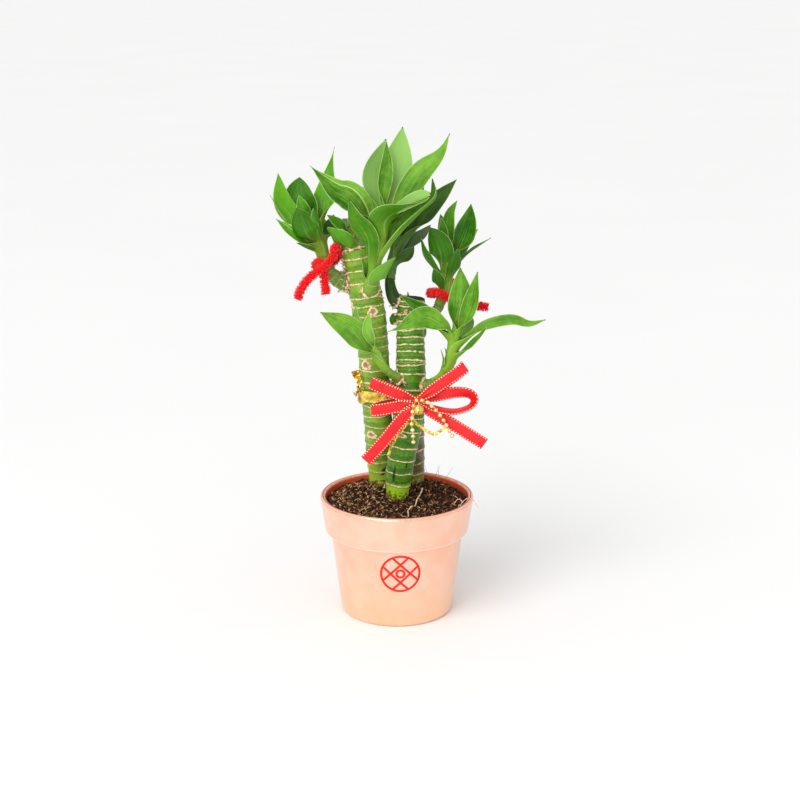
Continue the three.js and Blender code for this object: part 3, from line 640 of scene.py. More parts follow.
@dataclass(frozen=True)
class LeafFinish:
    """Living leaf: green with long veins, a pale margin, a pale sheath and a brown tip.

    Args:
        name: The material's name.
        deep, fresh: Darkest and lightest green of the blade.
        sheath, under, margin, tip: Colours of its foot, lower face, thin edge and dry tip; the lower face's
            darker green is painted shade.
        stem, ring: Colours of the stem and of the rings on it.
        pale_tint: Greyer green that its lightest leaves turn towards, if they have one.
        roughness: Roughness of the blade.
    """

    name: str
    deep: str
    fresh: str
    sheath: str
    under: str
    margin: str = "c6da94"
    stem: str = "7fa53a"
    pale_tint: str = ""
    tip: str = "4a3a1c"
    ring: str = "b9b98a"
    roughness: float = 0.36

    def build(self) -> Material:
        """The material."""
        nodes = Surface(self.name, Specular_IOR_Level=0.13)
        across, along, tone, seam = (nodes.value(n) for n in ("across", "along", "tone", "seam"))
        streaks = {0: nodes.times(across, 11.0), 1: nodes.times(along, 1.6), 2: nodes.times(tone, 40.0)}
        veins = nodes.noise(nodes.add("CombineXYZ", 0, streaks), 1.0, 3.0, 0.65)
        patches = nodes.cloud(0.07, 5.0)
        shade = nodes.plus(nodes.between(patches, 0.3, 0.7, -0.16, 0.22),
                           nodes.between(veins, 0.3, 0.7, -0.17, 0.17))
        shade = nodes.plus(nodes.between(seam, 0.0, 0.05, 0.0, 0.4), shade)
        blade = nodes.blend(nodes.plus(tone, shade), self.deep, self.fresh)
        if self.pale_tint:
            blade = nodes.blend(nodes.between(tone, 0.35, 1.0, 0.0, 0.8), blade, self.pale_tint)
        # Painted shade: the lower face blends halfway to a darker green.
        blade = nodes.blend(nodes.times(nodes.value("under"), 0.5), blade, self.under)
        blade = nodes.blend(nodes.between(along, 0.42, -0.1, 0.0, 0.85), blade, self.sheath)
        rib = nodes.times(nodes.between(nodes.math("ABSOLUTE", across), 0.08, 0.0, 0.0, 0.24),
                          nodes.between(along, 0.85, 0.1))
        pale_line = nodes.most(rib, nodes.between(nodes.math("ABSOLUTE", seam), 0.07, 0.02, 0.0, 0.7))
        blade = nodes.blend(pale_line, blade, self.margin)
        edge = nodes.frayed(nodes.value("edge"), 0.3, 0.5, 0.2, 0.5)
        blade = nodes.blend(nodes.times(edge, 0.66), blade, self.margin)
        blade = nodes.blend(nodes.between(along, 0.975, 0.995), blade, self.tip)
        ring = nodes.frayed(nodes.value("ring"), 0.28, 0.3, 0.2, 0.9)
        stem = nodes.blend(nodes.between(patches, 0.35, 0.65, 0.0, 0.55), self.stem, self.deep)
        stem = nodes.blend(nodes.times(ring, 0.7), stem, self.ring)
        return nodes.dress(
            Base_Color=nodes.blend(nodes.value("stem"), blade, stem),
            Roughness=nodes.plus(nodes.between(veins, 0.3, 0.7, -0.04, 0.06), self.roughness),
            Normal=nodes.bump(veins, 0.12),
        )


@dataclass(frozen=True)
class CaneFinish:
    """Living cane: satin green between tan leaf scars.

    Args:
        name: The material's name.
        deep, fresh: Darkest and lightest green.
        young, young_from: Colour of the fresh growth near the soil, and its height.
        aged, aged_share, aged_below: Colour of old, corky patches, how much of the cane they take, and
            the height below which they take more.
        scar, cork, pit: Colours of leaf scars, of their patches and of the middle of a bud scar.
        cut: Colour of dark marks and of cut ends.
        soil, splashed_to: Colour of the splashes near the soil, and their height.
    """

    name: str
    deep: str
    fresh: str
    young: str
    young_from: float
    aged: str = "8c6a48"
    aged_share: float = 0.1
    aged_below: float = 0.0
    scar: str = "fae0b8"
    cork: str = "c89a6c"
    pit: str = "8a5c38"
    soil: str = "54351e"
    cut: str = "1a2014"
    splashed_to: float = 89.0

    def build(self) -> Material:
        """The material."""
        nodes = Surface(self.name, Specular_IOR_Level=0.24)
        place, height, ring, scar = nodes.place, nodes.height, nodes.value("ring"), nodes.value("scar")
        grain = nodes.noise(nodes.scaled(place, (1.0, 1.0, 0.12)), 0.9, 3.0, 0.6)
        patches = nodes.cloud(0.09, 7.0)
        tone = nodes.plus(nodes.between(patches, 0.32, 0.68, 0.0, 0.75),
                          nodes.between(grain, 0.3, 0.7, 0.0, 0.25))
        skin_colour = nodes.blend(tone, self.deep, self.fresh)
        skin_colour = nodes.blend(nodes.between(ring, 3.2, 0.4, 0.0, 0.25), skin_colour, self.fresh)
        skin_colour = nodes.blend(nodes.between(ring, -1.6, -0.3, 0.0, 0.35), skin_colour, self.deep)
        young = nodes.between(height, self.young_from + 3.0, self.young_from - 1.0)
        skin_colour = nodes.blend(young, skin_colour, self.young)
        low = nodes.between(height, self.aged_below + 6.0, self.aged_below - 6.0, 0.0, 0.14)
        worn = nodes.plus(nodes.plus(nodes.noise(place, 0.16, 4.0, 0.7), low), self.aged_share)
        skin_colour = nodes.blend(nodes.between(worn, 0.7, 0.76, 0.0, 0.75), skin_colour, self.aged)
        soiled = nodes.between(height, self.splashed_to, self.splashed_to - 13.5, -0.2, 0.13)
        splashes = nodes.plus(nodes.noise(place, 0.55, 4.0, 0.7), soiled)
        skin_colour = nodes.blend(nodes.between(splashes, 0.55, 0.6, 0.0, 0.85), skin_colour, self.soil)
        specks = nodes.between(nodes.noise(place, 1.1, 1.0), 0.71, 0.76, 0.0, 0.5)
        skin_colour = nodes.blend(specks, skin_colour, self.scar)
        band = nodes.frayed(ring, 0.54, 1.6, 0.16, 0.5)
        mark = nodes.most(band, nodes.frayed(nodes.most(scar, 0.0), 0.6, 1.7, 0.16, 0.6))
        corky = nodes.blend(nodes.between(nodes.noise(place, 0.9, 3.0), 0.44, 0.66), self.scar, self.cork)
        corky = nodes.blend(nodes.between(scar, -0.6, -1.6, 0.0, 0.75), corky, self.pit)
        cut = nodes.value("cut")
        dark = nodes.most(cut, nodes.between(nodes.value("stain"), 0.3, -0.3, 0.0, 0.9))
        return nodes.dress(
            Base_Color=nodes.blend(dark, nodes.blend(mark, skin_colour, corky), self.cut),
            Roughness=nodes.between(nodes.most(mark, cut), 0.0, 1.0, 0.34, 0.85),
            Normal=nodes.bump(nodes.plus(grain, nodes.times(mark, 0.8)), 0.14),
        )


class GlazeFinish:
    """Pearl glaze: pale rose outside, coppery inside, and bare clay under the foot; painted highlight and
    reflection along the rim and the collar's edge, and painted shade low inside.
    """

    outside = "f9bea0"
    pearl = "fbcab0"
    low = "f8c48e"
    rim = "fcb4a0"
    inside = "ff7c4c"
    # Deeper red of the painted shade low on the inside.
    inside_low = "ee4c1c"
    # Red of the painted highlight and reflection lines along the rim.
    line = "e05a38"
    # Near white of the painted highlight along the collar's edge, with glaze thinning paler there.
    edge = "fffaf4"
    clay = "e8dccf"

    def build(self) -> Material:
        """The material."""
        nodes = Surface("rose_pearl_glaze", Coat_Roughness=0.08)
        place, height, rim, inner = nodes.place, nodes.height, nodes.value("rim"), nodes.value("inner")
        cloud = nodes.cloud(0.03, 4.0)
        outer = nodes.blend(nodes.between(cloud, 0.35, 0.65), self.outside, self.pearl)
        outer = nodes.blend(nodes.between(height, 44.0, 4.0, 0.0, 0.3), outer, self.low)
        outer = nodes.blend(rim, outer, self.rim)
        # Painted highlight and reflection along the rim: the line mask, broken up by noise.
        thin = nodes.between(nodes.noise(place, 0.5), 0.42, 0.6)
        outer = nodes.blend(nodes.times(nodes.value("line"), thin), outer, self.line)
        # Painted highlight along the collar's edge.
        outer = nodes.blend(nodes.value("edge"), outer, self.edge)
        # Painted shade: the coppery inside turns a deeper red towards the soil, its border moved by noise.
        shaded = nodes.plus(height, nodes.times(nodes.noise(place, 0.14), 5.0))
        coppery = nodes.blend(nodes.between(shaded, 74.5, 78.5), self.inside_low, self.inside)
        bare = nodes.between(height, 0.35, 0.1)
        metal = nodes.most(nodes.between(rim, 0.0, 1.0, 0.5, 0.25), nodes.times(inner, 0.25))
        rough = nodes.between(nodes.noise(place, 0.12, 3.0), 0.3, 0.7, 0.3, 0.36)
        return nodes.dress(
            Base_Color=nodes.blend(bare, nodes.blend(inner, outer, coppery), self.clay),
            Coat_Weight=nodes.between(nodes.most(inner, rim), 0.0, 1.0, 0.55, 0.1),
            Metallic=nodes.times(metal, nodes.math("SUBTRACT", 1.0, bare)),
            Roughness=nodes.plus(rough, nodes.times(bare, 0.5)),
            Normal=nodes.bump(nodes.noise(place, 0.35, 1.0), 0.05),
        )


@dataclass(frozen=True)
class PlainFinish:
    """A finish with cloudy colour, even roughness and a fine bump.

    Args:
        name: The material's name.
        dark, light: Colours of its darkest and lightest places.
        roughness, metallic, specular: The shader's own values.
        scale: Clouds for each millimetre.
        bump: Height of the fine bump.
    """

    name: str
    dark: str
    light: str
    roughness: float
    metallic: float = 0.0
    scale: float = 0.3
    bump: float = 0.05
    specular: float = 0.5

    def build(self) -> Material:
        """The material, whose tone also follows the mesh value tone."""
        nodes = Surface(self.name, Metallic=self.metallic, Specular_IOR_Level=self.specular)
        cloud = nodes.cloud(self.scale, 5.0)
        share = nodes.plus(nodes.between(cloud, 0.35, 0.65, -0.2, 0.5), nodes.value("tone"))
        return nodes.dress(
            Base_Color=nodes.blend(share, self.dark, self.light),
            Roughness=nodes.between(cloud, 0.3, 0.7, self.roughness - 0.05, self.roughness + 0.05),
            Normal=nodes.bump(cloud, self.bump),
        )


class SatinFinish:
    """Red satin ribbon: fine ribs across its length, and a soft sheen."""

    deep = "ac040c"
    bright = "f21a22"
    rib_pitch = 0.42

    def build(self) -> Material:
        """The material."""
        nodes = Surface("red_satin", Sheen_Weight=0.05, Sheen_Roughness=0.4, Specular_IOR_Level=0.42)
        cloud = nodes.cloud(0.08, 5.0)
        ribs = nodes.math("SINE", nodes.times(nodes.value("run"), TURN / self.rib_pitch))
        # The mesh's tone carries painted shade near the knot and on the ribbon's back.
        folds = nodes.plus(nodes.between(cloud, 0.35, 0.65, 0.0, 0.55), nodes.value("tone"))
        return nodes.dress(
            Base_Color=nodes.blend(nodes.plus(folds, nodes.times(ribs, 0.1)), self.deep, self.bright),
            Roughness=nodes.between(cloud, 0.3, 0.7, 0.3, 0.44),
            Normal=nodes.bump(ribs, 0.02),
        )


class PeatFinish:
    """Peat: near black to tan, by the mesh value tone and fine noise."""

    stops = ((0.0, "120905"), (0.28, "3a1e0f"), (0.52, "764828"), (0.75, "b88656"), (1.0, "efce9c"))

    def build(self) -> Material:
        """The material."""
        nodes = Surface("moist_peat", Specular_IOR_Level=0.25)
        cloud = nodes.cloud(0.5, 4.0)
        tone = nodes.plus(nodes.value("tone"), nodes.between(cloud, 0.3, 0.7, -0.12, 0.14))
        return nodes.dress(
            Base_Color=nodes.ramp(tone, *self.stops),
            Roughness=nodes.between(cloud, 0.3, 0.7, 0.75, 0.95),
            Normal=nodes.bump(cloud, 0.3),
        )


# Pot and its roundel


def rounded_profile(corners: Sequence[tuple[float, float, float]], support: float = 0.2) -> Array:
    """A profile of straight runs with rounded corners.

    Each corner is an arc that touches both runs; its points are a turn from one touching point to the
    other about the arc's middle. A support point stands just beyond each end of an arc.

    Args:
        corners: Radius, height and rounding of each corner; the first and last aren't rounded or kept.
        support: Distance of the support points from the arc.

    Returns:
        Radius and height of each point.
    """
    share = steps(8)[:, None]
    rows = []
    for before, here, after in zip(corners, corners[1:], corners[2:]):
        corner = np.array(here[:2])
        back, onward = (unit(np.array(p[:2]) - corner) for p in (before, after))
        half = 0.5 * math.acos(float(np.clip(back @ onward, -1.0, 1.0)))
        reach = here[2] / math.tan(half)
        middle = corner + unit(back + onward) * here[2] / math.sin(half)
        start, end = corner + back * reach, corner + onward * reach
        turn = math.pi - 2 * half
        swung = np.sin((1 - share) * turn) * (start - middle) + np.sin(share * turn) * (end - middle)
        rows += [start + back * support, *(middle + swung / math.sin(turn)), end + onward * support]
    return np.array(rows)


@dataclass(frozen=True)
class Pot:
    """The glazed pot, with its collar and the roundel printed on its front."""

    height: float = 78.0
    rim_radius: float = 50.0
    rim_wall: float = 3.6
    band_height: float = 23.5
    band_foot_radius: float = 46.4
    band_rounding: float = 1.1
    neck_radius: float = 43.1
    neck_cove: float = 0.9
    base_radius: float = 36.2
    foot_rounding: float = 2.4
    wall: float = 4.0
    floor: float = 5.0
    floor_rounding: float = 3.0
    lip_depth: float = 5.0
    lip_rounding: float = 60.0
    columns: int = 240

    @property
    def band_foot(self) -> float:
        """Height of the collar's lower edge."""
        return self.height - self.band_height

    def body_radius(self, height: Array | float) -> Array:
        """Radius of the outside below the collar."""
        return mix(self.base_radius, self.neck_radius, np.asarray(height) / self.band_foot)

    def inside_radius(self, height: Array | float) -> Array:
        """Radius of the inside.

        Args:
            height: Heights above the pot's underside.

        Returns:
            A straight taper's radius at each height.
        """
        rim_start = self.height - self.rim_wall / 2
        share = (np.asarray(height) - self.floor) / (rim_start - self.floor)
        return mix(self.body_radius(self.floor) - self.wall, self.rim_radius - self.rim_wall, share)

    def shell(self) -> Shell:
        """The turned body, with masks of its inside and rim, and of two lines along the rim and the collar's
        edge, where highlight and reflection are painted.
        """
        rim, lip = self.rim_wall / 2, self.height - self.lip_depth
        profile = rounded_profile([
            (0.0, 0.0, 0.0),
            (self.base_radius, 0.0, self.foot_rounding),
            (self.neck_radius, self.band_foot, self.neck_cove),
            (self.band_foot_radius, self.band_foot, self.band_rounding),
            (self.rim_radius, self.height, rim),
            (self.rim_radius - self.rim_wall, self.height, rim),
            (float(self.inside_radius(lip)), lip, self.lip_rounding),
            (float(self.inside_radius(self.floor)), self.floor, self.floor_rounding),
            (0.0, self.floor, 0.0),
        ])
        radius, above = profile[:, :1], profile[:, 1:] - self.height
        past_top = np.arange(len(profile))[:, None] > above.argmax()
        # Painted highlight: a thin coppery line just inside the rim's top. Painted reflection: a red line
        # just below the top on the outside.
        inner_highlight_line = past_top * np.exp(-((above + 0.6) / 0.3) ** 2)
        outer_reflection_line = 0.7 * ~past_top * np.exp(-((above + 1.2) / 0.22) ** 2)
        # Painted highlight along the collar's rounded lower edge, with glaze that thins paler over it.
        edge = np.exp(-((above + self.band_height - 0.4) / 0.35) ** 2)
        return turned(
            profile, self.columns,
            inner=past_top * smooth((-0.5 - above) / 0.9),
            line=inner_highlight_line + outer_reflection_line,
            edge=0.95 * (radius > self.neck_radius + 2.0) * edge,
            rim=smooth((above + np.where(past_top, 1.4, 0.9)) / 0.6),
        )

    def build(self) -> None:
        """Makes the pot and its roundel."""
        make_piece("glazed_pot", self.shell(), GlazeFinish().build(), Slot.GLAZE, ["pot"])
        red = PlainFinish("red_print", "e8060c", "ff0a10", 0.4, bump=0.02).build()
        make_piece("lattice_roundel", Roundel(self).shell(), red, Slot.GLAZE)


@dataclass(frozen=True)
class Roundel:
    """A plain round lattice printed on the pot's front: a circle, a small circle and four slanted bars."""

    pot: Pot
    centre_height: float = 38.4
    centre_side: float = 2.3
    radius: float = 12.3
    stroke: float = 1.45
    lift: float = 0.16
    bar_offset: float = 4.4
    inner_radius: float = 2.5

    def bar(self, path: Array, looped: bool) -> Shell:
        """One printed line.

        Its section is a low rectangle, carried along the flat path and wrapped round the pot: a point at
        (a, b) goes to the angle a / radius from the front, at b up the slanting side.

        Args:
            path: Places in the roundel's own plane, to the right and up.
            looped: Whether the line closes on itself.

        Returns:
            The line's skin.
        """
        ahead = np.roll(path, -1, axis=0) - np.roll(path, 1, axis=0) if looped else np.gradient(path, axis=0)
        left = unit(np.stack([-ahead[:, 1], ahead[:, 0]], axis=-1))
        half = self.stroke / 2
        section = np.array([(half, self.lift), (-half, self.lift), (-half, -self.lift), (half, -self.lift)])
        flat = path[:, None] + left[:, None] * section[:, :1]
        slope = math.atan2(self.pot.neck_radius - self.pot.base_radius, self.pot.band_foot)
        height = self.centre_height + flat[..., 1] * math.cos(slope)
        surface = self.pot.body_radius(height)
        angle = (flat[..., 0] + self.centre_side) / surface
        radius = surface + section[:, 1]
        return skin(xyz(radius * np.sin(angle), -radius * np.cos(angle), height), looped)

    def circle(self, radius: float) -> Shell:
        """A printed circle."""
        angle = around(96)
        return self.bar(radius * np.stack([np.cos(angle), np.sin(angle)], axis=-1), True)

    def shell(self) -> Shell:
        """The whole roundel."""
        half_length = math.sqrt(self.radius**2 - self.bar_offset**2)
        along = mix(-half_length, half_length, steps(24))
        bars = []
        for slant, offset in product((1, -1), (-self.bar_offset, self.bar_offset)):
            turned_back = np.stack([along + slant * offset, slant * along - offset], axis=-1)
            bars.append(self.bar(turned_back * math.sqrt(0.5), False))
        return Shell.joined([self.circle(self.radius), self.circle(self.inner_radius), *bars])


# Canes


@dataclass(frozen=True)
class Scar:
    """A corky bud scar, shaped like a drop that narrows upwards.

    Args:
        height: Height of its middle.
        azimuth: Degrees round the cane from the front, towards +X.
        width: Its width.
        tall: Its height from end to end.
    """

    height: float
    azimuth: float
    width: float
    tall: float

    def distance(self, angle: Array, radius: Array, height: Array) -> Array:
        """How far places on the cane are from the scar, negative inside it.

        Args:
            angle: Angle of each column, from the front towards +X.
            radius: Radius at each place.
            height: Height of each row.

        Returns:
            The distance at each place.
        """
        turn = (angle - math.radians(self.azimuth) + math.pi) % TURN - math.pi
        up = 2 * (height - self.height)[:, None] / self.tall
        across = 2 * turn * radius / self.width / (1 - 0.5 * np.clip(up, -1.0, 1.0))
        return (np.hypot(across, up) - 1.0) * self.width / 2


def torn_strips(rng: np.random.Generator, places: Array, ways: Array, outs: Array) -> Shell:
    """Torn papery strips that taper and curl away from what they grow on.

    Each is a flat strip: at x from 0 to 1 it spans y = ±(1 - x/2)/2 at z = 0.45 x², scaled to its
    length and width.

    Args:
        rng: Source of the lengths, widths, leans and tones.
        places: Where each strip starts.
        ways: Roughly where it runs, or the opposite way.
        outs: Direction out of the surface there.

    Returns:
        All strips.
    """
    share = steps(5)[:, None]
    across = 0.5 * (1 - 0.5 * share) * np.array([1.0, 1.0, -1.0, -1.0])
    lift = 0.45 * share**2 + 0.035 * np.array([-1.0, 1.0, 1.0, -1.0])
    count = len(places)
    aside = np.cross(ways, outs)
    along = unit(ways * rng.choice((-1.0, 1.0), (count, 1)) + outs * rng.uniform(0.0, 0.6, (count, 1))
                 + aside * rng.uniform(-0.9, 0.9, (count, 1)))
    away = unit(outs - along * np.sum(outs * along, axis=1, keepdims=True))
    length, width = rng.uniform(1.4, 3.6, (count, 1)), rng.uniform(0.7, 1.7, (count, 1))
    axes = np.stack([along * length, np.cross(away, along) * width, away * length], axis=1)
    return scattered(skin(xyz(share, across, lift)), places, axes, tone=rng.uniform(-0.1, 1.0, count))


@dataclass(frozen=True)
class Cane:
    """One ringed cane.

    Args:
        name, node, slot: The piece's name, the CAD node that it stands for and its record slot.
        axis, radii: Points up its middle, and the radius at each of them.
        rings: Height of each ring.
        scars, stains: Its bud scars, and dark marks of the same form.
        papery: Height and azimuth of the places where its rings end in torn strips.
        stub, stub_radius: The two ends of a cut side branch, and its radius.
        front_lift: How much higher a ring is in front than at the sides.
        ring_height: How far the lip of a ring stands out.
        spacing, columns: Distance between rows of points above the soil, and points in a row.
        buried: Height up to which few rows are enough.
        far: Distance beyond which rings and scars don't matter.
    """

    name: str
    node: str
    slot: Slot
    axis: tuple[Point, ...]
    radii: tuple[float, ...]
    rings: tuple[float, ...]
    finish: CaneFinish
    seed: int
    scars: tuple[Scar, ...] = ()
    stains: tuple[Scar, ...] = ()
    papery: tuple[tuple[float, float], ...] = ()
    stub: tuple[Point, ...] = ()
    stub_radius: float = 3.8
    front_lift: float = 0.8
    ring_height: float = 0.5
    spacing: float = 0.42
    columns: int = 120
    buried: float = 69.0
    far: float = 5.0

    def middle(self, height: Array | float) -> Array:
        """X and Y of its middle at a height, straight between the axis points."""
        axis = np.array(self.axis, float)
        return read_rows(height, axis[:, 2], axis[:, :2])

    def radius_at(self, height: Array | float) -> Array:
        """Radius without rings: straight between the axis points, then rounded over a few millimetres."""
        near = np.asarray(height)[..., None] + np.linspace(-4.0, 4.0, 9)
        return np.interp(near, [p[2] for p in self.axis], self.radii).mean(axis=-1)

    def ring_distance(self, height: Array, angle: Array) -> Array:
        """Signed height above the nearest ring.

        Each ring waves round the cane: its height is its own, plus a lift of its front, plus three cosines
        of once, twice and five times the angle, with random sizes and phases.

        Args:
            height: Height of each row of points.
            angle: Angle of each column.

        Returns:
            One distance for each row and column.
        """
        rng = np.random.default_rng(self.seed)
        rings = np.array(self.rings)
        turns = np.array([1.0, 2.0, 5.0])
        sizes = rng.uniform(0.3, 1.0, (len(rings), 3)) * np.array([0.45, 0.4, 0.2])
        phases = rng.uniform(0.0, TURN, (len(rings), 3))
        waves = (sizes[..., None] * np.cos(turns[:, None] * angle + phases[..., None])).sum(axis=1)
        waves = waves + self.front_lift * (np.cos(angle) - 1.0)
        away = height[:, None, None] - (rings[:, None] + waves).T[None]
        nearest = np.abs(away).argmin(axis=-1)
        return np.take_along_axis(away, nearest[..., None], axis=-1)[..., 0]

    def nearest(self, marks: Sequence[Scar], angle: Array, radius: Array, height: Array) -> Array:
        """Distance from each place of the skin to the nearest mark.

        Args:
            marks: Scars to look at.
            angle: Angle of each column, from the front towards +X.
            radius: Radius at each place.
            height: Height of each row.

        Returns:
            The distance at each place, the field far at most.
        """
        away = [mark.distance(angle, radius, height) for mark in marks]
        return np.min([np.full(radius.shape, self.far), *away], axis=0)

    def shell(self) -> Shell:
        """The cane's skin.

        The radius at a point is the cane's, plus a lip that rises steeply at a ring's lower edge and
        fades above it, plus slow swellings.
        """
        foot, head = self.axis[0][2], self.axis[-1][2]
        ends = [head - 0.5, head - 0.2, head]
        visible = np.arange(self.buried + 1.0, head - 0.6, self.spacing)
        heights = np.concatenate([np.linspace(foot, self.buried, 8), visible, ends])
        path = Path.through(self.axis, (heights - foot) / (head - foot))
        height = path.points[:, 2]
        angle = around(self.columns)
        distance = self.ring_distance(height, angle)
        lip = np.where(distance < 0, np.exp(-(distance / 0.4) ** 2), np.exp(-distance / 1.5))
        out = ways_round(*path.carried(FRONT), angle)
        radius = self.radius_at(height)[:, None] + self.ring_height * lip
        surface = path.points[:, None] + out * radius[..., None]
        radius = radius + 0.22 * cloud_noise(surface, 7.0, self.seed)
        radius = radius + 0.07 * cloud_noise(surface, 1.8, self.seed + 1)
        scar, stain = (self.nearest(marks, angle, radius, height) for marks in (self.scars, self.stains))
        from_head = (height - head)[:, None]
        radius = radius + 0.45 * smooth(0.8 - scar) - 1.2 * smooth((from_head + 0.6) / 0.6)
        rings = path.points[:, None] + out * radius[..., None]
        return skin(rings, ring=np.clip(distance, -self.far, self.far), scar=scar, stain=stain,
                    cut=0.97 * smooth((from_head + 1.0) / 0.8))

    def torn_strips(self) -> Shell:
        """Torn papery strips where the rings end: seven at each place, scattered a little."""
        rng = np.random.default_rng(self.seed + 60)
        height, azimuth = np.repeat(np.array(self.papery, float), 7, axis=0).T
        height = height + rng.uniform(-1.1, 1.1, len(height))
        azimuth = np.radians(azimuth + rng.uniform(-18.0, 18.0, len(azimuth)))
        out = xyz(np.sin(azimuth), -np.cos(azimuth), 0.0)
        places = np.column_stack([self.middle(height), height])
        places = places + out * (self.radius_at(height) + 0.2)[:, None]
        return torn_strips(rng, places, np.cross(out, (0.0, 0.3, 1.0)), out)

    def stub_shell(self) -> Shell:
        """The cut side branch, corky and uneven, with a rounded end."""
        path = Path.through(self.stub, steps(24))
        rounding = 1.0 - 0.5 * smooth((path.shares - 0.85) / 0.15)
        cut = 0.6 * smooth((path.shares - 0.9) / 0.1)[:, None]
        shell = tube(path, self.stub_radius * rounding, 40, UP, scar=self.far, stain=self.far, cut=cut)
        swelling = 0.35 * cloud_noise(shell.points, 1.9, self.seed + 5)[:, None]
        shell.points += swelling * unit(shell.points - path.points.mean(axis=0))
        shell.values["ring"] = np.abs(cloud_noise(shell.points, 2.6, self.seed + 6)) * 4.0
        return shell

    def build(self) -> None:
        """Makes the cane."""
        shells = [self.shell()] + ([self.stub_shell()] if self.stub else [])
        make_piece(self.name, Shell.joined(shells), self.finish.build(), self.slot, [self.node])


CANES = (
    Cane(
        "tall_cane", "cane_tall", Slot.CANE_LIGHT,
        ((-9.5, 26, 30), (-10.5, 26, 80), (-11.3, 17, 103), (-12.2, 10, 127), (-14, 5, 148),
         (-14.6, 3, 168), (-17.1, 1, 194), (-20, 0, 213), (-22, 0, 226), (-25.2, 0, 240)),
        (7.8, 7.9, 8.8, 9.1, 9.3, 9.5, 10.4, 10.1, 9.6, 9.0),
        (90.2, 98.6, 104.1, 110.4, 116.6, 123.8, 131.1, 138.9, 146.7, 154.2, 162.3, 170.7, 177.3, 183.6,
         190.2, 197.4, 204.1, 209.9, 218.4, 226.2, 234.2),
        CaneFinish("light_cane", "457f0e", "98be40", "a0c23a", 96.0, aged_share=0.05, aged_below=98.0),
        seed=11,
        scars=(
            Scar(201.3, 18.0, 5.4, 5.4),
            Scar(166.5, -32.0, 6.0, 6.4),
            Scar(119.0, -31.0, 6.0, 4.6),
            Scar(206.0, -62.0, 2.4, 2.6),
            Scar(177.0, -66.0, 2.6, 3.0),
            Scar(150.5, 150.0, 4.5, 5.5),
            Scar(182.0, 200.0, 4.4, 5.0),
            Scar(112.0, 185.0, 5.0, 4.5),
        ),
        stains=(Scar(93.0, 22.0, 5.0, 3.4), Scar(97.5, 38.0, 2.6, 3.0), Scar(88.5, 8.0, 2.4, 2.0),
                Scar(101.0, -8.0, 1.2, 1.0)),
        papery=((233.2, -88.0), (229.5, -100.0), (226.0, -84.0), (210.5, 40.0)),
    ),
    Cane(
        "middle_cane", "cane_middle", Slot.CANE_DARK,
        ((-1.5, 3, 22), (0.4, 0, 79), (1.9, -1, 95), (4.5, -2, 112), (7.1, -3, 129), (8.3, -4, 145),
         (8.8, -3, 162), (8.7, -2, 176), (8.6, -1, 194), (9.4, 0, 208)),
        (7.0, 7.2, 8.5, 9.0, 9.6, 10.3, 9.3, 8.8, 8.7, 8.2),
        (85.9, 94.4, 103.4, 112.0, 123.3, 132.8, 141.6, 150.7, 160.3, 166.4, 169.0, 174.6, 179.4, 183.8,
         188.7, 193.6, 198.3, 203.2, 206.4),
        CaneFinish("dark_cane", "28580a", "609e1e", "98c626", 85.0, aged_share=0.03),
        seed=23,
        scars=(
            Scar(160.0, -70.0, 6.0, 6.0),
            Scar(154.0, 62.0, 6.5, 6.0),
            Scar(121.0, -20.0, 6.0, 3.0),
            Scar(172.0, 170.0, 4.5, 5.0),
            Scar(131.0, 205.0, 4.5, 5.0),
        ),
        # A long, narrow dark streak on the front left near the foot, and a shorter one on the front right.
        stains=(Scar(95.0, -25.0, 1.7, 12.0), Scar(101.5, 24.0, 1.2, 5.0)),
        papery=((193.0, -60.0), (198.5, -62.0), (200.0, -20.0), (160.0, -75.0)),
        stub=((4, -1, 193), (-3.5, 4, 193.5)),
        front_lift=1.2,
    ),
    Cane(
        "short_cane", "cane_short", Slot.CANE_DARK,
        ((10, 26.5, 30), (10, 28, 78), (9.7, 22, 101), (9.3, 18.5, 122), (9.2, 17.5, 136), (9.2, 17.5, 166)),
        (7.6, 8.2, 8.4, 8.4, 8.4, 8.0),
        (86.0, 95.0, 103.8, 112.5, 121.0, 129.3, 137.4, 145.3, 153.0, 160.5),
        CaneFinish("corky_cane", "46552c", "7d8452", "9fbf48", 84.0, aged="7b5f47", aged_share=0.24),
        seed=37,
        scars=(Scar(120.0, 140.0, 4.5, 5.0), Scar(142.0, 215.0, 5.0, 4.5)),
        columns=84,
    ),
)


# Leafy shoots


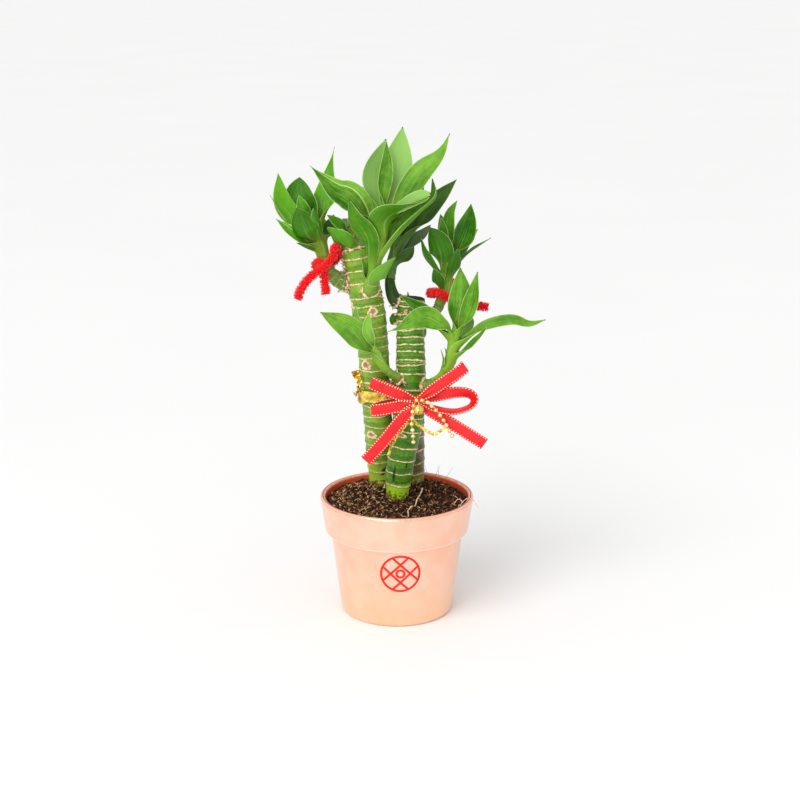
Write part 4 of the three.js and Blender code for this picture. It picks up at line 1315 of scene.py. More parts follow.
@dataclass(frozen=True)
class Leaf:
    """One leaf.

    Args:
        at: Share of the stem's length where its blade leaves the stem.
        through, tip: Points that it runs through after that, and its tip.
        width, cup: Its greatest width, and the degrees by which it curls up across it.
        face: Where its upper face looks from mid-length on; inwards and up if not given.
        belly: Share of its length where it is widest.
        drawn, blunt: How drawn-out its tip is, from 0 to 1, and the power of its taper.
        tone: How light its green is, from 0 to 1, set leaf by leaf; part of it is painted light and shade:
            lower for leaves that lie in shade, above 1 to light a blade that turns from the lamps.
        sheath: Length of stem that its sheath wraps.
        roll: Degrees that the blade has turned about its own middle at the tip.
        strip, strip_from: Share of a half of the blade that is lighter beyond a pale seam, below 0 on its
            other half, and the share of the length from which the strip widens to that.
        waist, slow: Share of its width where it leaves the stem, and the power of its swelling.
    """

    at: float
    through: tuple[Point, ...]
    tip: Point
    width: float
    cup: float
    face: Point | None = None
    belly: float = 0.5
    drawn: float = 0.25
    tone: float = 0.5
    sheath: float = 9.0
    roll: float = 0.0
    blunt: float = 2.2
    strip: float = 0.0
    strip_from: float = -1.0
    waist: float = 0.48
    slow: float = 1.0

    def half_width(self, share: Array, tip: float) -> Array:
        """Half the blade's width along it.

        Up to the belly it follows a power of a sine from the waist to 1. Past it, it follows a blend of a
        blunt curve, 1 - x to the power of the bluntness, and a drawn-out one, half of 1 + cos(pi x).

        Args:
            share: Shares of the blade's length.
            tip: Width that is left at the tip.

        Returns:
            The half width at each share.
        """
        rise = np.sin(np.minimum(share / self.belly, 1.0) * math.pi / 2) ** self.slow
        x = np.clip((share - self.belly) / (1 - self.belly), 0.0, 1.0)
        taper = mix(1 - x**self.blunt, 0.5 * (1 + np.cos(math.pi * x)), self.drawn)
        past = mix(tip / 2, self.width / 2, taper)
        return np.where(share < self.belly, self.width / 2 * mix(self.waist, 1.0, rise), past)


@dataclass(frozen=True)
class BladeForm:
    """The form that all leaves share: thickness, sheath and how the blade opens."""

    rib: float = 0.7
    margin: float = 0.24
    tip_width: float = 0.36
    uplook: float = 0.6
    sheath_low: float = 155.0
    sheath_high: float = 120.0
    narrowed_by: float = 0.2
    open_by: float = 0.5
    turned_by: float = 0.45
    wave: float = 0.02
    softening: float = 1.6
    soft_step: float = 0.25
    soft_count: int = 16
    sheath_rows: int = 12
    blade_rows: int = 40
    wide_from: float = 9.0

    def softened(self, line: Array) -> Array:
        """A running mean along a line, with bell-shaped weights.

        Args:
            line: Evenly spaced points, half a window or more.

        Returns:
            As many points, the ends in place.
        """
        count = self.soft_count
        weights = np.exp(-0.5 * (np.arange(-count, count + 1) * self.soft_step / self.softening) ** 2)
        start, end = 2 * line[0] - line[count:0:-1], 2 * line[-1] - line[-2:-count - 2:-1]
        padded = np.vstack([start, line, end])
        return np.stack([np.convolve(c, weights / weights.sum(), "valid") for c in padded.T], axis=-1)

    def middle(self, leaf: Leaf, stem: "Shoot", clearance: float) -> tuple[Path, Array, Array]:
        """The leaf's middle line: up the stem's surface, then along the blade, its corner softened.

        Args:
            leaf: The leaf.
            stem: The shoot that it grows on.
            clearance: How far its sheath stands off the stem.

        Returns:
            The line's stations, the blade's share of length at each, below 0 on the sheath, and the
            direction inwards and up that its face has at the foot.
        """
        dense = Path.through(stem.stem, steps(400))
        spot = int(round(leaf.at * 400))
        up = dense.tangents[spot]
        outward = np.subtract(leaf.tip, dense.points[spot])
        outward = unit(outward - up * float(outward @ up))
        low = max(0.02, leaf.at - leaf.sheath / dense.length)
        climb = Path.through(stem.stem, np.concatenate([[0.0], np.linspace(low, leaf.at, 40), [1.0]]))
        points, tangents, shares = climb.points[1:-1], climb.tangents[1:-1], climb.shares[1:-1]
        radial = unit(outward - tangents * (tangents @ outward)[:, None])
        wrap = points + radial * (stem.radius_at(shares) + clearance)[:, None]
        line = np.vstack([wrap[:-1], Path.through([wrap[-1], *leaf.through, leaf.tip], steps(200)).points])
        reach = reach_along(line)
        even = np.arange(0.0, reach[-1], self.soft_step)
        soft = self.softened(read_rows(even, reach, line))
        foot, end = reach[len(wrap) - 1], even[-1]
        rows = np.concatenate([np.linspace(0.0, foot, self.sheath_rows, endpoint=False),
                               mix(foot, end, steps(self.blade_rows))])
        slopes = unit(np.gradient(soft, self.soft_step, axis=0))
        read = read_rows(rows, even, np.hstack([soft, slopes]))
        path = Path(read[:, :3], unit(read[:, 3:]), rows / end, float(end))
        return path, (rows - foot) / (end - foot), unit(up * self.uplook - outward)

    def shell(self, leaf: Leaf, stem: "Shoot", clearance: float, rng: np.random.Generator) -> Shell:
        """One leaf's skin.

        The blade is part of a tube about its middle line: at u from -1 to 1 across, the angle is u times
        half the curl, and the point lies at reach · sin(angle) to the side and bend - reach · cos(angle)
        up the face. The reach is the bend less or plus half the thickness for the upper or lower face.
        The sheath is the same with the stem inside the tube. The margins rise and fall by a slow wave.

        Args:
            leaf: The leaf.
            stem: The shoot that it grows on.
            clearance: How far its sheath stands off the stem.
            rng: Source of the tone's last shade and of the wave's phase.

        Returns:
            The skin, with its values across, along, edge, under and tone.
        """
        path, share, inward = self.middle(leaf, stem, clearance)
        share = share[:, None]
        blade = np.clip(share, 0.0, 1.0)
        climbed = np.clip(1 + share * path.length / leaf.sheath, 0.0, 1.0)
        face = inward if leaf.face is None else unit(np.array(leaf.face, float))
        aim = mix(inward, face, smooth(blade / self.turned_by))
        across = unit(aim - path.tangents * np.sum(aim * path.tangents, axis=1, keepdims=True))
        side = np.cross(path.tangents, across)
        turn = math.radians(leaf.roll) * smooth((blade - 0.4) / 0.6)
        across, side = twisted(across, side, turn)
        wrap = np.radians(mix(self.sheath_low, self.sheath_high, climbed))
        narrowed = np.where(share < 0, mix(0.93, 1.0, climbed), 1.0)
        wrapped = (float(stem.radius_at(leaf.at)) + clearance) * wrap * narrowed
        half = mix(wrapped, leaf.half_width(blade, self.tip_width), smooth(blade / self.narrowed_by))
        cup = mix(2 * wrap, math.radians(leaf.cup), smooth(blade / self.open_by))
        bend = half / (cup / 2)
        columns = 13 if leaf.width >= self.wide_from else 11
        top = np.linspace(-1.0, 1.0, columns)
        spread = np.concatenate([top, [1.02], top[::-1], [-1.02]])
        upper = np.concatenate([np.ones(columns), [0.0], -np.ones(columns), [0.0]])
        thickness = mix(self.rib, self.margin, np.abs(spread)) * (1 - 0.5 * blade**4)
        thickness = thickness * mix(0.6, 1.0, smooth(blade / 0.2))
        angle = spread * cup / 2
        reach = bend - upper * thickness / 2
        phase = rng.uniform(0.0, TURN, 2)
        waves = leaf.width * self.wave * np.sin(blade * 14.0 + np.where(spread > 0, phase[0], phase[1]))
        lift = bend - reach * np.cos(angle) + waves * np.abs(spread) ** 3 * smooth(blade / 0.3)
        widened = abs(leaf.strip) * smooth((blade - leaf.strip_from) / 0.4)
        return skin(
            moved(path.points, (side, reach * np.sin(angle)), (across, lift)),
            across=spread,
            along=np.where(share < 0, -0.1 * (1 - climbed), blade),
            edge=half * (1 - np.minimum(np.abs(spread), 1.0)),
            under=upper < 0,
            ring=5.0,
            tone=leaf.tone + rng.uniform(-0.06, 0.06),
            seam=np.sign(leaf.strip) * spread - 1 + widened if leaf.strip else -1.0,
        )


@dataclass(frozen=True)
class Shoot:
    """A leafy shoot: its stem, its leaves with their sheaths, and a papery collar at its heel.

    Args:
        name, node, slot: The piece's name, the CAD node that it stands for and its record slot.
        cane: Name of the cane that it grows from.
        stem, radius: Points up the stem, and its radius at the heel and at the tip.
        bracts: Where its small dark-tipped scale leaves stand: share of the stem, and degrees round it.
        ring_pitch: Distance between the rings on its stem.
        torn, torn_reach: How many torn strips stand round its heel, and how far up the stem they go.
    """

    name: str
    node: str
    cane: str
    finish: LeafFinish
    slot: Slot
    stem: tuple[Point, ...]
    radius: tuple[float, float]
    leaves: tuple[Leaf, ...]
    seed: int
    bracts: tuple[tuple[float, float], ...] = ()
    ring_pitch: float = 3.6
    torn: int = 9
    torn_reach: float = 1.6
    form: BladeForm = BladeForm()

    def radius_at(self, share: Array | float) -> Array:
        """Radius of the stem along it."""
        return mix(self.radius[0], self.radius[1], smooth(np.asarray(share) / 0.5))

    def stem_shell(self) -> Shell:
        """The stem, ringed every few millimetres by the edges of fallen sheaths, and pointed at its end."""
        path = Path.through(self.stem, steps(120))
        ring = (path.shares * path.length + 1.0) % self.ring_pitch - 0.5
        step = 0.32 * np.where(ring < 0, smooth(1 + ring / 0.5), smooth(1 - ring / (self.ring_pitch - 0.5)))
        slimmed = 1 - 0.85 * smooth((path.shares - 0.9) / 0.1)
        return tube(path, (self.radius_at(path.shares) + step) * slimmed, 36, ring=ring[:, None], stem=1.0,
                    edge=5.0, along=0.3, seam=-1.0)

    def bract(self, share: float, azimuth: float) -> Leaf:
        """A small dark-tipped scale leaf that stands off the stem.

        Args:
            share: Where it stands along the stem.
            azimuth: Degrees round the stem's own line from the right-hand side, towards the back.

        Returns:
            The leaf.
        """
        spot = Path.through(self.stem, np.array([0.0, share, 1.0]))
        up, place = spot.tangents[1], spot.points[1]
        first = unit(np.array(RIGHT) - up * up[0])
        turn = math.radians(azimuth)
        outward = first * math.cos(turn) + np.cross(up, first) * math.sin(turn)
        radius = float(self.radius_at(share))
        through, tip = (tuple(place + outward * (radius + away) + up * rise)
                        for away, rise in ((1.0, 1.6), (2.6, 3.6)))
        return Leaf(share, (through,), tip, 4.6, 100.0, drawn=0.8, belly=0.2, tone=0.3, sheath=5.0)

    def clearance(self, leaf: Leaf, leaves: Sequence[Leaf], length: float) -> float:
        """How far a leaf's sheath stands off the stem: a step for each sheath that starts inside it.

        Args:
            leaf: The leaf.
            leaves: All leaves of the stem.
            length: The stem's length.

        Returns:
            The distance.
        """
        inside = sum(other.at > leaf.at > other.at - other.sheath / length for other in leaves)
        return min(1.3, 0.2 + 0.22 * inside)

    def shells(self) -> list[Shell]:
        """Everything that grows on the stem."""
        rng = np.random.default_rng(self.seed)
        leaves = [*self.leaves, *(self.bract(*place) for place in self.bracts)]
        length = Path.through(self.stem, steps(1)).length
        grown = [self.form.shell(leaf, self, self.clearance(leaf, leaves, length), rng) for leaf in leaves]
        return [self.stem_shell(), *grown]

    def collar(self, cane: Cane) -> Shell:
        """The torn, papery ring where the stem leaves its cane, with strips that stand off it.

        It is a flat ring about the stem, at the first place where the stem's middle is outside the cane,
        with its radius and thickness changed by noise.

        Args:
            cane: The cane that the shoot grows from.

        Returns:
            The ring's skin.
        """
        path = Path.through(self.stem, steps(200))
        height = path.points[:, 2]
        away = np.linalg.norm(path.points[:, :2] - cane.middle(height), axis=1) - cane.radius_at(height)
        row = int(np.argmax(away > 0.4))
        place, tangent = path.points[row], path.tangents[row]
        first = unit(np.cross(tangent, (0.1, 0.2, 1.0)))
        radial = ways_round(first[None], np.cross(tangent, first)[None], around(90))[0]
        radius = float(self.radius_at(path.shares[row])) + 0.3
        section = around(14)
        flat = radial[:, None] * (radius + np.cos(section))[:, None] + tangent * -np.sin(section)[:, None]
        fray = cloud_noise(place + flat * 1.3, 1.6, self.seed + 3)
        thick = 0.85 + 0.75 * fray
        out, along = radius + 1.1 * thick * np.cos(section), -1.2 * thick * np.sin(section)
        rings = moved(place[None], (radial, out), (tangent[None], along))
        rng = np.random.default_rng(self.seed + 40)
        outs = radial[rng.integers(0, len(radial), self.torn)]
        up = rng.uniform(-0.4, 1.0, (self.torn, 1)) * self.torn_reach
        ways = np.broadcast_to(tangent, outs.shape)
        strips = torn_strips(rng, place + outs * (radius + 0.3) + ways * up, ways, outs)
        return Shell.joined([skin(rings, looped=True, tone=0.4 + 0.6 * fray), strips])


# In each finish the green after the sheath's is the lower face's, darker as painted shade.
FRESH = LeafFinish("fresh_leaf", "205e04", "8ac43a", "86b032", "4a880a", pale_tint="8fbc66")
MID = LeafFinish("mid_leaf", "1b5204", "66ae24", "84a432", "3c7010", stem="7d9a48")
DARK = LeafFinish("shaded_leaf", "1d3a08", "4a7222", "5c8236", "3a5a26", "9cb67c", "3a5628")

SHOOTS = (
    Shoot(
        "left_shoot", "shoot_left", "tall_cane", MID, Slot.LEAF,
        ((-27, 2, 217), (-36, 1, 219), (-41, 0, 223.5), (-45, 0, 231.5), (-47.5, 0, 242), (-51, 0, 254)),
        (6.6, 2.8),
        (
            Leaf(0.84, ((-70, 4, 265),), (-73.4, 5, 285), 13, 40, (0.4, -1, 0.1), tone=0.95),
            Leaf(0.9, ((-60, 7, 267),), (-60.5, 10, 282), 20, 50, (0, -1, 0.1), tone=0.15, blunt=4),
            Leaf(0.96, ((-58, 0, 264),), (-60.5, 2, 272), 9, 70, (0.1, -1, 0), tone=0.6),
            Leaf(0.8, ((-55, -13, 250),), (-61.5, -9, 265.5), 18, 80, (0, 1, 0.2), tone=0.15, blunt=4),
            Leaf(0.74, ((-67, -5, 254),), (-77.8, -3, 272.5), 6, 40, tone=0.3),
            Leaf(0.7, ((-61.7, -10, 247.8),), (-74.4, -9, 259), 10, 50, (0.5, -0.5, 0.8), tone=0.7,
                 strip=0.5),
            Leaf(0.66, ((-54, -4, 239),), (-62, -6, 243.5), 9, 80, (0.6, 0.5, 1), tone=0.2),
            Leaf(0.88, ((-45, 11, 266), (-42, 14, 284)), (-38.8, 18, 300), 16, 50, (-0.2, -1, 0), 0.3, 1,
                 tone=0.7),
            Leaf(0.74, ((-41, 13, 250),), (-40, 20, 257), 11, 50, (0, -1, 0.4), tone=0.2),
            Leaf(0.76, ((-49, -11, 252),), (-51, -9, 266), 8, 70, (-0.4, 1, 0), tone=0.3),
            Leaf(0.78, ((-57, 19, 256),), (-64, 30, 271), 14, 50),
            Leaf(0.68, ((-48, 19, 247),), (-52, 34, 255), 12, 50),
        ),
        seed=1,
        torn=34,
        torn_reach=4.0,
    ),
    Shoot(
        "centre_shoot", "shoot_centre", "tall_cane", FRESH, Slot.LEAF,
        ((-16, -4, 213), (-16, -13, 217), (-14, -16.5, 226), (-12, -17, 237), (-9.5, -16, 250),
         (-7, -14, 264)),
        (4.9, 3.0),
        (
            Leaf(0.9, ((0, -3, 290),), (3.6, 3, 313.8), 20, 45, (0.1, -1, 0.1), tone=0.9),
            # Tone above 1: painted light on a blade that turns away from the lamps.
            Leaf(0.88, ((-14.5, -6, 286),), (-6.6, -4, 307), 17, 60, (0.5, -1, 0), tone=1.15),
            Leaf(0.97, ((-6.5, -10, 287),), (-6.2, -8, 306), 9.5, 80, (0, -1, 0), tone=0.3),
            Leaf(0.85, ((12, -13, 284), (26, -10, 298)), (32, -8, 311), 16, 40, (-0.5, -1, 0.5), 0.5, 0.7,
                 tone=0.45),
            Leaf(0.7, ((-7, -28, 261), (5, -31, 269.5)), (20, -30, 276), 21, 60, (-0.2, 0.6, 0.7), 0.42,
                 tone=0.15, roll=70, strip=-1.0, strip_from=0.5),
            Leaf(0.71, ((-8, -25.5, 261), (3, -28.4, 269.6), (12, -29, 274.8)), (20.8, -29.2, 277.4), 8, 20,
                 (0.1, -1, 0.3), 0.8, 0, tone=0.85, blunt=3.5, waist=0.15, slow=4.0),
            Leaf(0.36, ((-17.3, -25, 248.9), (-25, -28, 261.7)), (-28.6, -30, 273.6), 13.5, 45,
                 (0.4, 1, 0.2), 0.55, tone=0.1),
            Leaf(0.76, ((-27.7, -14, 271.9), (-37.6, -12, 277.3)), (-52.8, -9, 291.5), 20, 45,
                 (0.3, -0.9, 0.5), 0.42, 0.8, tone=0.18, strip=0.45),
            Leaf(0.5, ((0.1, -18, 250), (13, -15, 263), (23.4, -10, 272)), (21.9, -4, 283), 18, 125,
                 (-0.8, -0.3, 0.5), tone=0.38),
            Leaf(0.78, ((10, 2, 267),), (17, 8, 278), 13, 45, (-0.4, -1, 0.2), tone=0.2),
            Leaf(0.2, ((-12.2, -21, 222.5), (-6.8, -22.5, 231)), (-0.5, -21, 237.4), 11.5, 80,
                 (-0.3, 1, 0.2), 0.35, 0.5, tone=0.6),
            Leaf(0.22, ((-20, -17, 228),), (-21.5, -18, 236), 7, 70),
            Leaf(0.82, ((-7, 9, 275),), (-6, 22, 292), 15, 50),
            Leaf(0.72, ((-15, 7, 264),), (-24, 20, 276), 13, 45),
        ),
        seed=2,
    ),
    Shoot(
        "crown_shoot", "shoot_crown", "tall_cane", MID, Slot.LEAF,
        ((-25, 0.5, 238), (-26.5, 2, 244), (-29, 3, 250)),
        (8.2, 3),
        (
            Leaf(0.9, ((-34.5, -1, 253),), (-43.2, -2, 260.3), 7, 50, (0.4, -1, 0.6), tone=0.4),
            Leaf(0.14, ((-32.2, -8.5, 243),), (-43.1, -6, 253.4), 15, 60, (0.3, 1, 0.4), 0.28, tone=0.95),
            Leaf(0.85, ((-25, 14, 257),), (-20, 27, 266), 13, 50),
            Leaf(0.8, ((-32, 19, 250),), (-35, 33, 252), 12, 45),
        ),
        seed=3,
    ),
    Shoot(
        "back_shoot", "shoot_back", "middle_cane", DARK, Slot.LEAF_DARK,
        ((5, 1, 203), (-1, 0, 206.5), (-4, 2, 214), (-4, 6, 223), (-1.5, 10, 233), (2.5, 13, 243)),
        (4.4, 2.8),
        (
            Leaf(0.92, ((21, 19, 260),), (37.7, 22, 279), 14, 60, (-0.7, -1, 0.3)),
            Leaf(0.86, ((20, 26, 258),), (33.5, 31, 275), 10, 50),
            Leaf(0.62, ((6, 5, 233),), (11, 4, 239.5), 9, 60, (-0.2, 1, 0.3)),
            Leaf(0.95, ((6, 23, 261),), (4, 33, 279), 13, 50),
            Leaf(0.82, ((-3, 27, 248),), (-8, 41, 259), 13, 45),
            Leaf(0.7, ((13, 30, 240),), (22, 46, 246), 12, 45),
        ),
        seed=4,
        ring_pitch=60.0,
    ),
    Shoot(
        "upper_right_shoot", "shoot_upper_right", "middle_cane", MID, Slot.LEAF,
        ((12, 2, 191), (20, 4, 194.5), (26, 5, 200), (30, 6, 210), (31.3, 7, 221), (33, 8, 234)),
        (4.2, 2.7),
        (
            Leaf(0.9, ((44, 10, 249),), (46.5, 12, 265), 15, 50, (-0.5, -1, 0.2), tone=0.22),
            Leaf(0.94, ((33, 14, 256),), (37.9, 18, 266), 9, 60, (-0.4, -1, 0)),
            Leaf(0.97, ((29, 9, 249),), (27.6, 10, 257), 6.5, 60, (0, -1, 0)),
            Leaf(0.76, ((27, -3, 238),), (20.6, -1, 252.5), 17, 80, (0.2, 1, 0.3), tone=0.15, blunt=4),
            Leaf(0.7, ((18, 5, 234),), (15, 4, 245), 8, 60, (0.8, 0.6, 0), tone=0.25),
            Leaf(0.66, ((36.5, 0, 229),), (38.2, 0, 239), 10, 80, (-0.4, 1, 0), tone=0.18),
            Leaf(0.54, ((26, 0, 217),), (23, -1, 226.5), 9, 80, (0.4, 1, 0), tone=0.1),
            Leaf(0.8, ((46, 15, 234),), (59.8, 18, 242.5), 5, 40),
            Leaf(0.84, ((31, 23, 243),), (28, 35, 255), 12, 50),
            Leaf(0.74, ((42, 24, 236),), (52, 36, 245), 11, 45),
        ),
        seed=5,
    ),
    Shoot(
        "lower_right_shoot", "shoot_lower_right", "middle_cane", FRESH, Slot.LEAF,
        ((13, -7, 152.5), (21.5, -11, 154.5), (28, -13, 159.5), (33, -13.5, 169), (35, -13, 179),
         (36.5, -12, 190)),
        (3.7, 2.5),
        (
            Leaf(0.92, ((39.5, -11, 207),), (39.3, -8, 228.5), 15.5, 50, (-0.1, -1, 0.1), tone=0.3),
            Leaf(0.86, ((46.2, -14, 207),), (49.9, -14, 227), 11.5, 60, (-0.7, -1, 0), tone=0.35),
            Leaf(0.8, ((31.8, -15, 190.4), (25.4, -17, 195.4), (18.6, -19, 199.4), (10, -22, 197.8),
                       (2, -24, 194)),
                 (-5.4, -25, 191.7), 14, 45, (0, -1, 0.3), 0.52, 0.9, tone=0.4, waist=0.2, slow=2.2),
            Leaf(0.84, ((16.9, -12, 201.4), (9.4, -13, 206.7)), (2, -14, 212.4), 9.5, 50, (0.2, -0.8, 0.6),
                 tone=0.1),
            Leaf(0.76, ((53.2, -12, 191.3), (71.5, -10, 195.6), (82.9, -8, 192.6)), (93.2, -8, 195.3), 8, 40,
                 (0, -1, 0.9), 0.55, tone=0.4),
            Leaf(0.64, ((49.5, -20, 185.2),), (56.1, -22, 194.5), 7, 60, (-0.6, -0.4, 0.8), tone=0.3),
            Leaf(0.8, ((43, 5, 187),), (47, 22, 193), 11, 45),
            Leaf(0.42, ((29, -15, 171),), (27.5, -15.5, 178), 5, 80),
        ),
        seed=6,
        bracts=((0.68, 180.0), (0.54, 175.0)),
    ),
    Shoot(
        "lower_left_shoot", "shoot_lower_left", "middle_cane", FRESH, Slot.LEAF,
        ((4, -8, 156), (-2, -13, 160.5), (-6.5, -17, 165.5), (-11, -20, 173), (-15, -21, 182)),
        (3.1, 2.3),
        (
            Leaf(0.72, ((-27.7, -25, 191.5),), (-46.8, -27, 204.3), 17, 50, (0.3, -1, 0.6), tone=0.42),
            Leaf(0.84, ((-24.5, -18, 195),), (-25.3, -17, 207), 7, 60, (0, -1, 0)),
            Leaf(0.9, ((-18, -22, 191),), (-17, -21.5, 203), 7, 60, (0, -1, 0)),
        ),
        seed=7,
    ),
    Shoot(
        "behind_shoot", "shoot_behind", "short_cane", MID, Slot.LEAF_DARK,
        ((9.5, 21, 154), (10, 29, 156.5), (10, 34, 162.5), (10, 36, 171)),
        (3.9, 2.5),
        (
            Leaf(0.92, ((8, 37, 184),), (7, 40, 203), 13, 60),
            Leaf(0.85, ((13, 49, 178),), (13, 58, 192), 12, 50),
            Leaf(0.72, ((5.5, 51.5, 169),), (1.5, 67, 174), 9.5, 45),
            Leaf(0.78, ((15, 51.5, 170),), (18.5, 66, 176), 9, 45),
            Leaf(0.55, ((10, 51, 157),), (9, 66, 157), 10, 50),
        ),
        seed=8,
    ),
)


class Plant:
    """The canes, their shoots and the papery collars between them."""

    def build(self) -> None:
        """Makes every cane and shoot, and all collars as one piece."""
        for cane in CANES:
            cane.build()
        finishes: dict[str, Material] = {}
        for shoot in SHOOTS:
            name = shoot.finish.name
            if name not in finishes:
                finishes[name] = shoot.finish.build()
            make_piece(shoot.name, Shell.joined(shoot.shells()), finishes[name], shoot.slot, [shoot.node])
        paper = PlainFinish("papery_scar", "a87c50", "f6d8b0", 0.8, scale=0.6, bump=0.2).build()
        canes = {cane.name: cane for cane in CANES}
        collars = [shoot.collar(canes[shoot.cane]) for shoot in SHOOTS]
        strips = [cane.torn_strips() for cane in CANES if cane.papery]
        make_piece("papery_collars", Shell.joined([*collars, *strips]), paper, Slot.CANE_LIGHT)


# Soil and roots


@dataclass(frozen=True)
class Soil:
    """Peat with crumbs and fibres, and the loose roots that lie on it."""

    pot: Pot
    edge_height: float = 73.6
    mound: float = 3.4
    mound_y: float = 8.0
    mound_reach: float = 40.0
    front_share: float = 0.45
    back_share: float = 1.1
    front_y: float = -12.0
    back_y: float = 18.0
    lump: float = 0.45
    clod: float = 0.85
    clod_reach: float = 46.0
    clod_shift: float = 2.0
    clod_fade: float = 6.0
    gap: float = 0.3
    edge_dip: float = 0.4
    dry_reach: float = 40.0
    cane_room: float = 7.6
    crumbs: int = 2600
    fibres: int = 1900
    flat_roots: tuple[tuple[float, tuple[tuple[float, float], ...]], ...] = (
        (0.46, ((16.8, 10.0), (14.0, -4.0), (12.0, -15.0), (7.5, -26.0), (7.2, -36.0))),
        (0.24, ((12.0, -15.0), (14.5, -19.0), (13.5, -23.0))),
    )
    rim_loop: tuple[Point, ...] = (
        (-9, -9, 74.0), (-6.5, -10, 77.5), (-4, -12, 76.5), (-5.5, -15, 74.6), (-3, -13, 77.4),
        (0.2, -12.5, 79.2), (3, -15, 78.6), (6.4, -18.0, 74.5))
    hairs: tuple[tuple[float, float], ...] = ((-1.5, 22.0), (2.0, 24.5), (-0.5, 28.5), (3.0, 31.0))

    def wall(self, height: float) -> float:
        """Radius of the peat's side, a gap inside the pot's wall."""
        return float(self.pot.inside_radius(height)) - self.gap

    def height(self, x: Array, y: Array) -> Array:
        """Height of the surface: level at the rim, mounded round the canes, more so behind, with clods.

        Lumps and clods are products of two sines, plus half of a slanted third.

        Args:
            x: Places to the right.
            y: Places to the back.

        Returns:
            The height at each place.
        """
        share = np.minimum(1.0, np.hypot(x, y - self.mound_y) / self.mound_reach)
        depth = smooth((y - self.front_y) / (self.back_y - self.front_y))
        rise = self.mound * mix(self.front_share, self.back_share, depth) * (1 - share * share)
        lumps = np.sin(TURN * x / 20.3) * np.sin(TURN * y / 23.3) + np.sin(TURN * (x + y) / 11.4) / 2
        clods = np.sin(TURN * (x + self.clod_shift) / 11.3) * np.sin(TURN * y / 12.7)
        clods = clods + np.sin(TURN * (x - y) / 9.7) / 2
        clod_share = 1 - np.minimum(1.0, np.hypot(x, y) / self.clod_reach) ** self.clod_fade
        return self.edge_height + rise + self.lump * lumps + self.clod * clod_share * clods

    def relief(self, x: Array, y: Array) -> Array:
        """Fine relief of the surface: three sizes of noise."""
        sizes = ((0.5, 4.2), (0.45, 1.9), (0.3, 0.9))
        return sum(depth * cloud_noise(xyz(x, y, 0.0), cell, 70 + k) for k, (depth, cell) in enumerate(sizes))

    def body(self) -> Shell:
        """The peat as a closed plug whose top follows the height and its relief."""
        edge = self.wall(self.edge_height)
        bottom = self.pot.floor + self.pot.floor_rounding + self.gap
        low_radius = self.wall(bottom)
        radius = np.concatenate([[low_radius * 0.5, low_radius], np.linspace(edge, 0.6, 90)])[:, None]
        angle = around(220)
        x, y = radius * np.cos(angle), radius * np.sin(angle)
        top = self.height(x, y) + self.relief(x, y) - self.edge_dip * smooth((radius - edge + 2.0) / 2.0)
        rings = xyz(x, y, np.where(np.arange(len(radius))[:, None] < 2, bottom, top))
        return skin(rings, tone=0.05 + 0.1 * cloud_noise(rings, 2.2, 80))

    def places(self, rng: np.random.Generator, count: int, margin: float) -> Array:
        """Random places on the surface, even over its area.

        Args:
            rng: Source of the places.
            count: How many are wanted.
            margin: How far they keep from the peat's edge.

        Returns:
            The places that are outside the canes, up to the count.
        """
        radius = (self.wall(self.edge_height) - margin) * np.sqrt(rng.uniform(0.0, 1.0, 2 * count))
        angle = rng.uniform(0.0, TURN, 2 * count)
        x, y = radius * np.cos(angle), radius * np.sin(angle)
        clear = np.ones(len(x), bool)
        for cane in CANES:
            middle = cane.middle(self.edge_height + 2.0)
            clear &= np.hypot(x - middle[0], y - middle[1]) > self.cane_room
        return xyz(x, y, self.height(x, y) + self.relief(x, y))[clear][:count]

    def drier(self, places: Array, start: float) -> Array:
        """How dry the peat is at places, rising to the left from a start."""
        return smooth((start - places[:, 0]) / self.dry_reach)

    def crumb_shell(self) -> Shell:
        """Crumbs: small balls, each squashed and turned at random."""
        rng = np.random.default_rng(91)
        places = self.places(rng, self.crumbs, 0.9)
        count = len(places)
        sizes = rng.uniform(0.35, 1.0, (count, 3)) * rng.uniform(0.6, 1.5, (count, 1))
        axes = random_axes(rng, count) * sizes[:, :, None]
        tone = np.clip(rng.normal(0.16, 0.17, count) + 0.12 * self.drier(places, 10.0), 0.0, 0.9)
        return scattered(ball(3, 5), places, axes, tone=tone)

    def fibre_shell(self) -> Shell:
        """Fibres: bent spindles that lie nearly level, with more tan ones on the drier left."""
        rng = np.random.default_rng(92)
        places = self.places(rng, self.fibres, 3.5)
        count = len(places)
        share = steps(5)
        bend = np.sin(share * math.pi)
        path = Path.through(xyz(share - 0.5, 0.025 * bend, 0.02 * np.cos(share * 5.0)), share)
        spindle = tube(path, np.maximum(0.25, bend) * 0.045, 3, UP)
        length = rng.uniform(1.4, 4.2, count) ** 1.1
        thick = rng.uniform(6.0, 12.0, count) * np.where(rng.uniform(0.0, 1.0, count) < 0.22, 1.9, 1.0)
        axes = lying_axes(rng, count, 0.8) * xyz(length, thick, 0.6 * thick)[:, :, None]
        dry = 0.42 * self.drier(places, 8.0) * rng.uniform(0.0, 1.0, count)
        tone = np.clip(rng.normal(0.38, 0.3, count) + dry, 0.02, 0.97)
        return scattered(spindle, places + (0.0, 0.0, 0.45), axes, tone=tone)

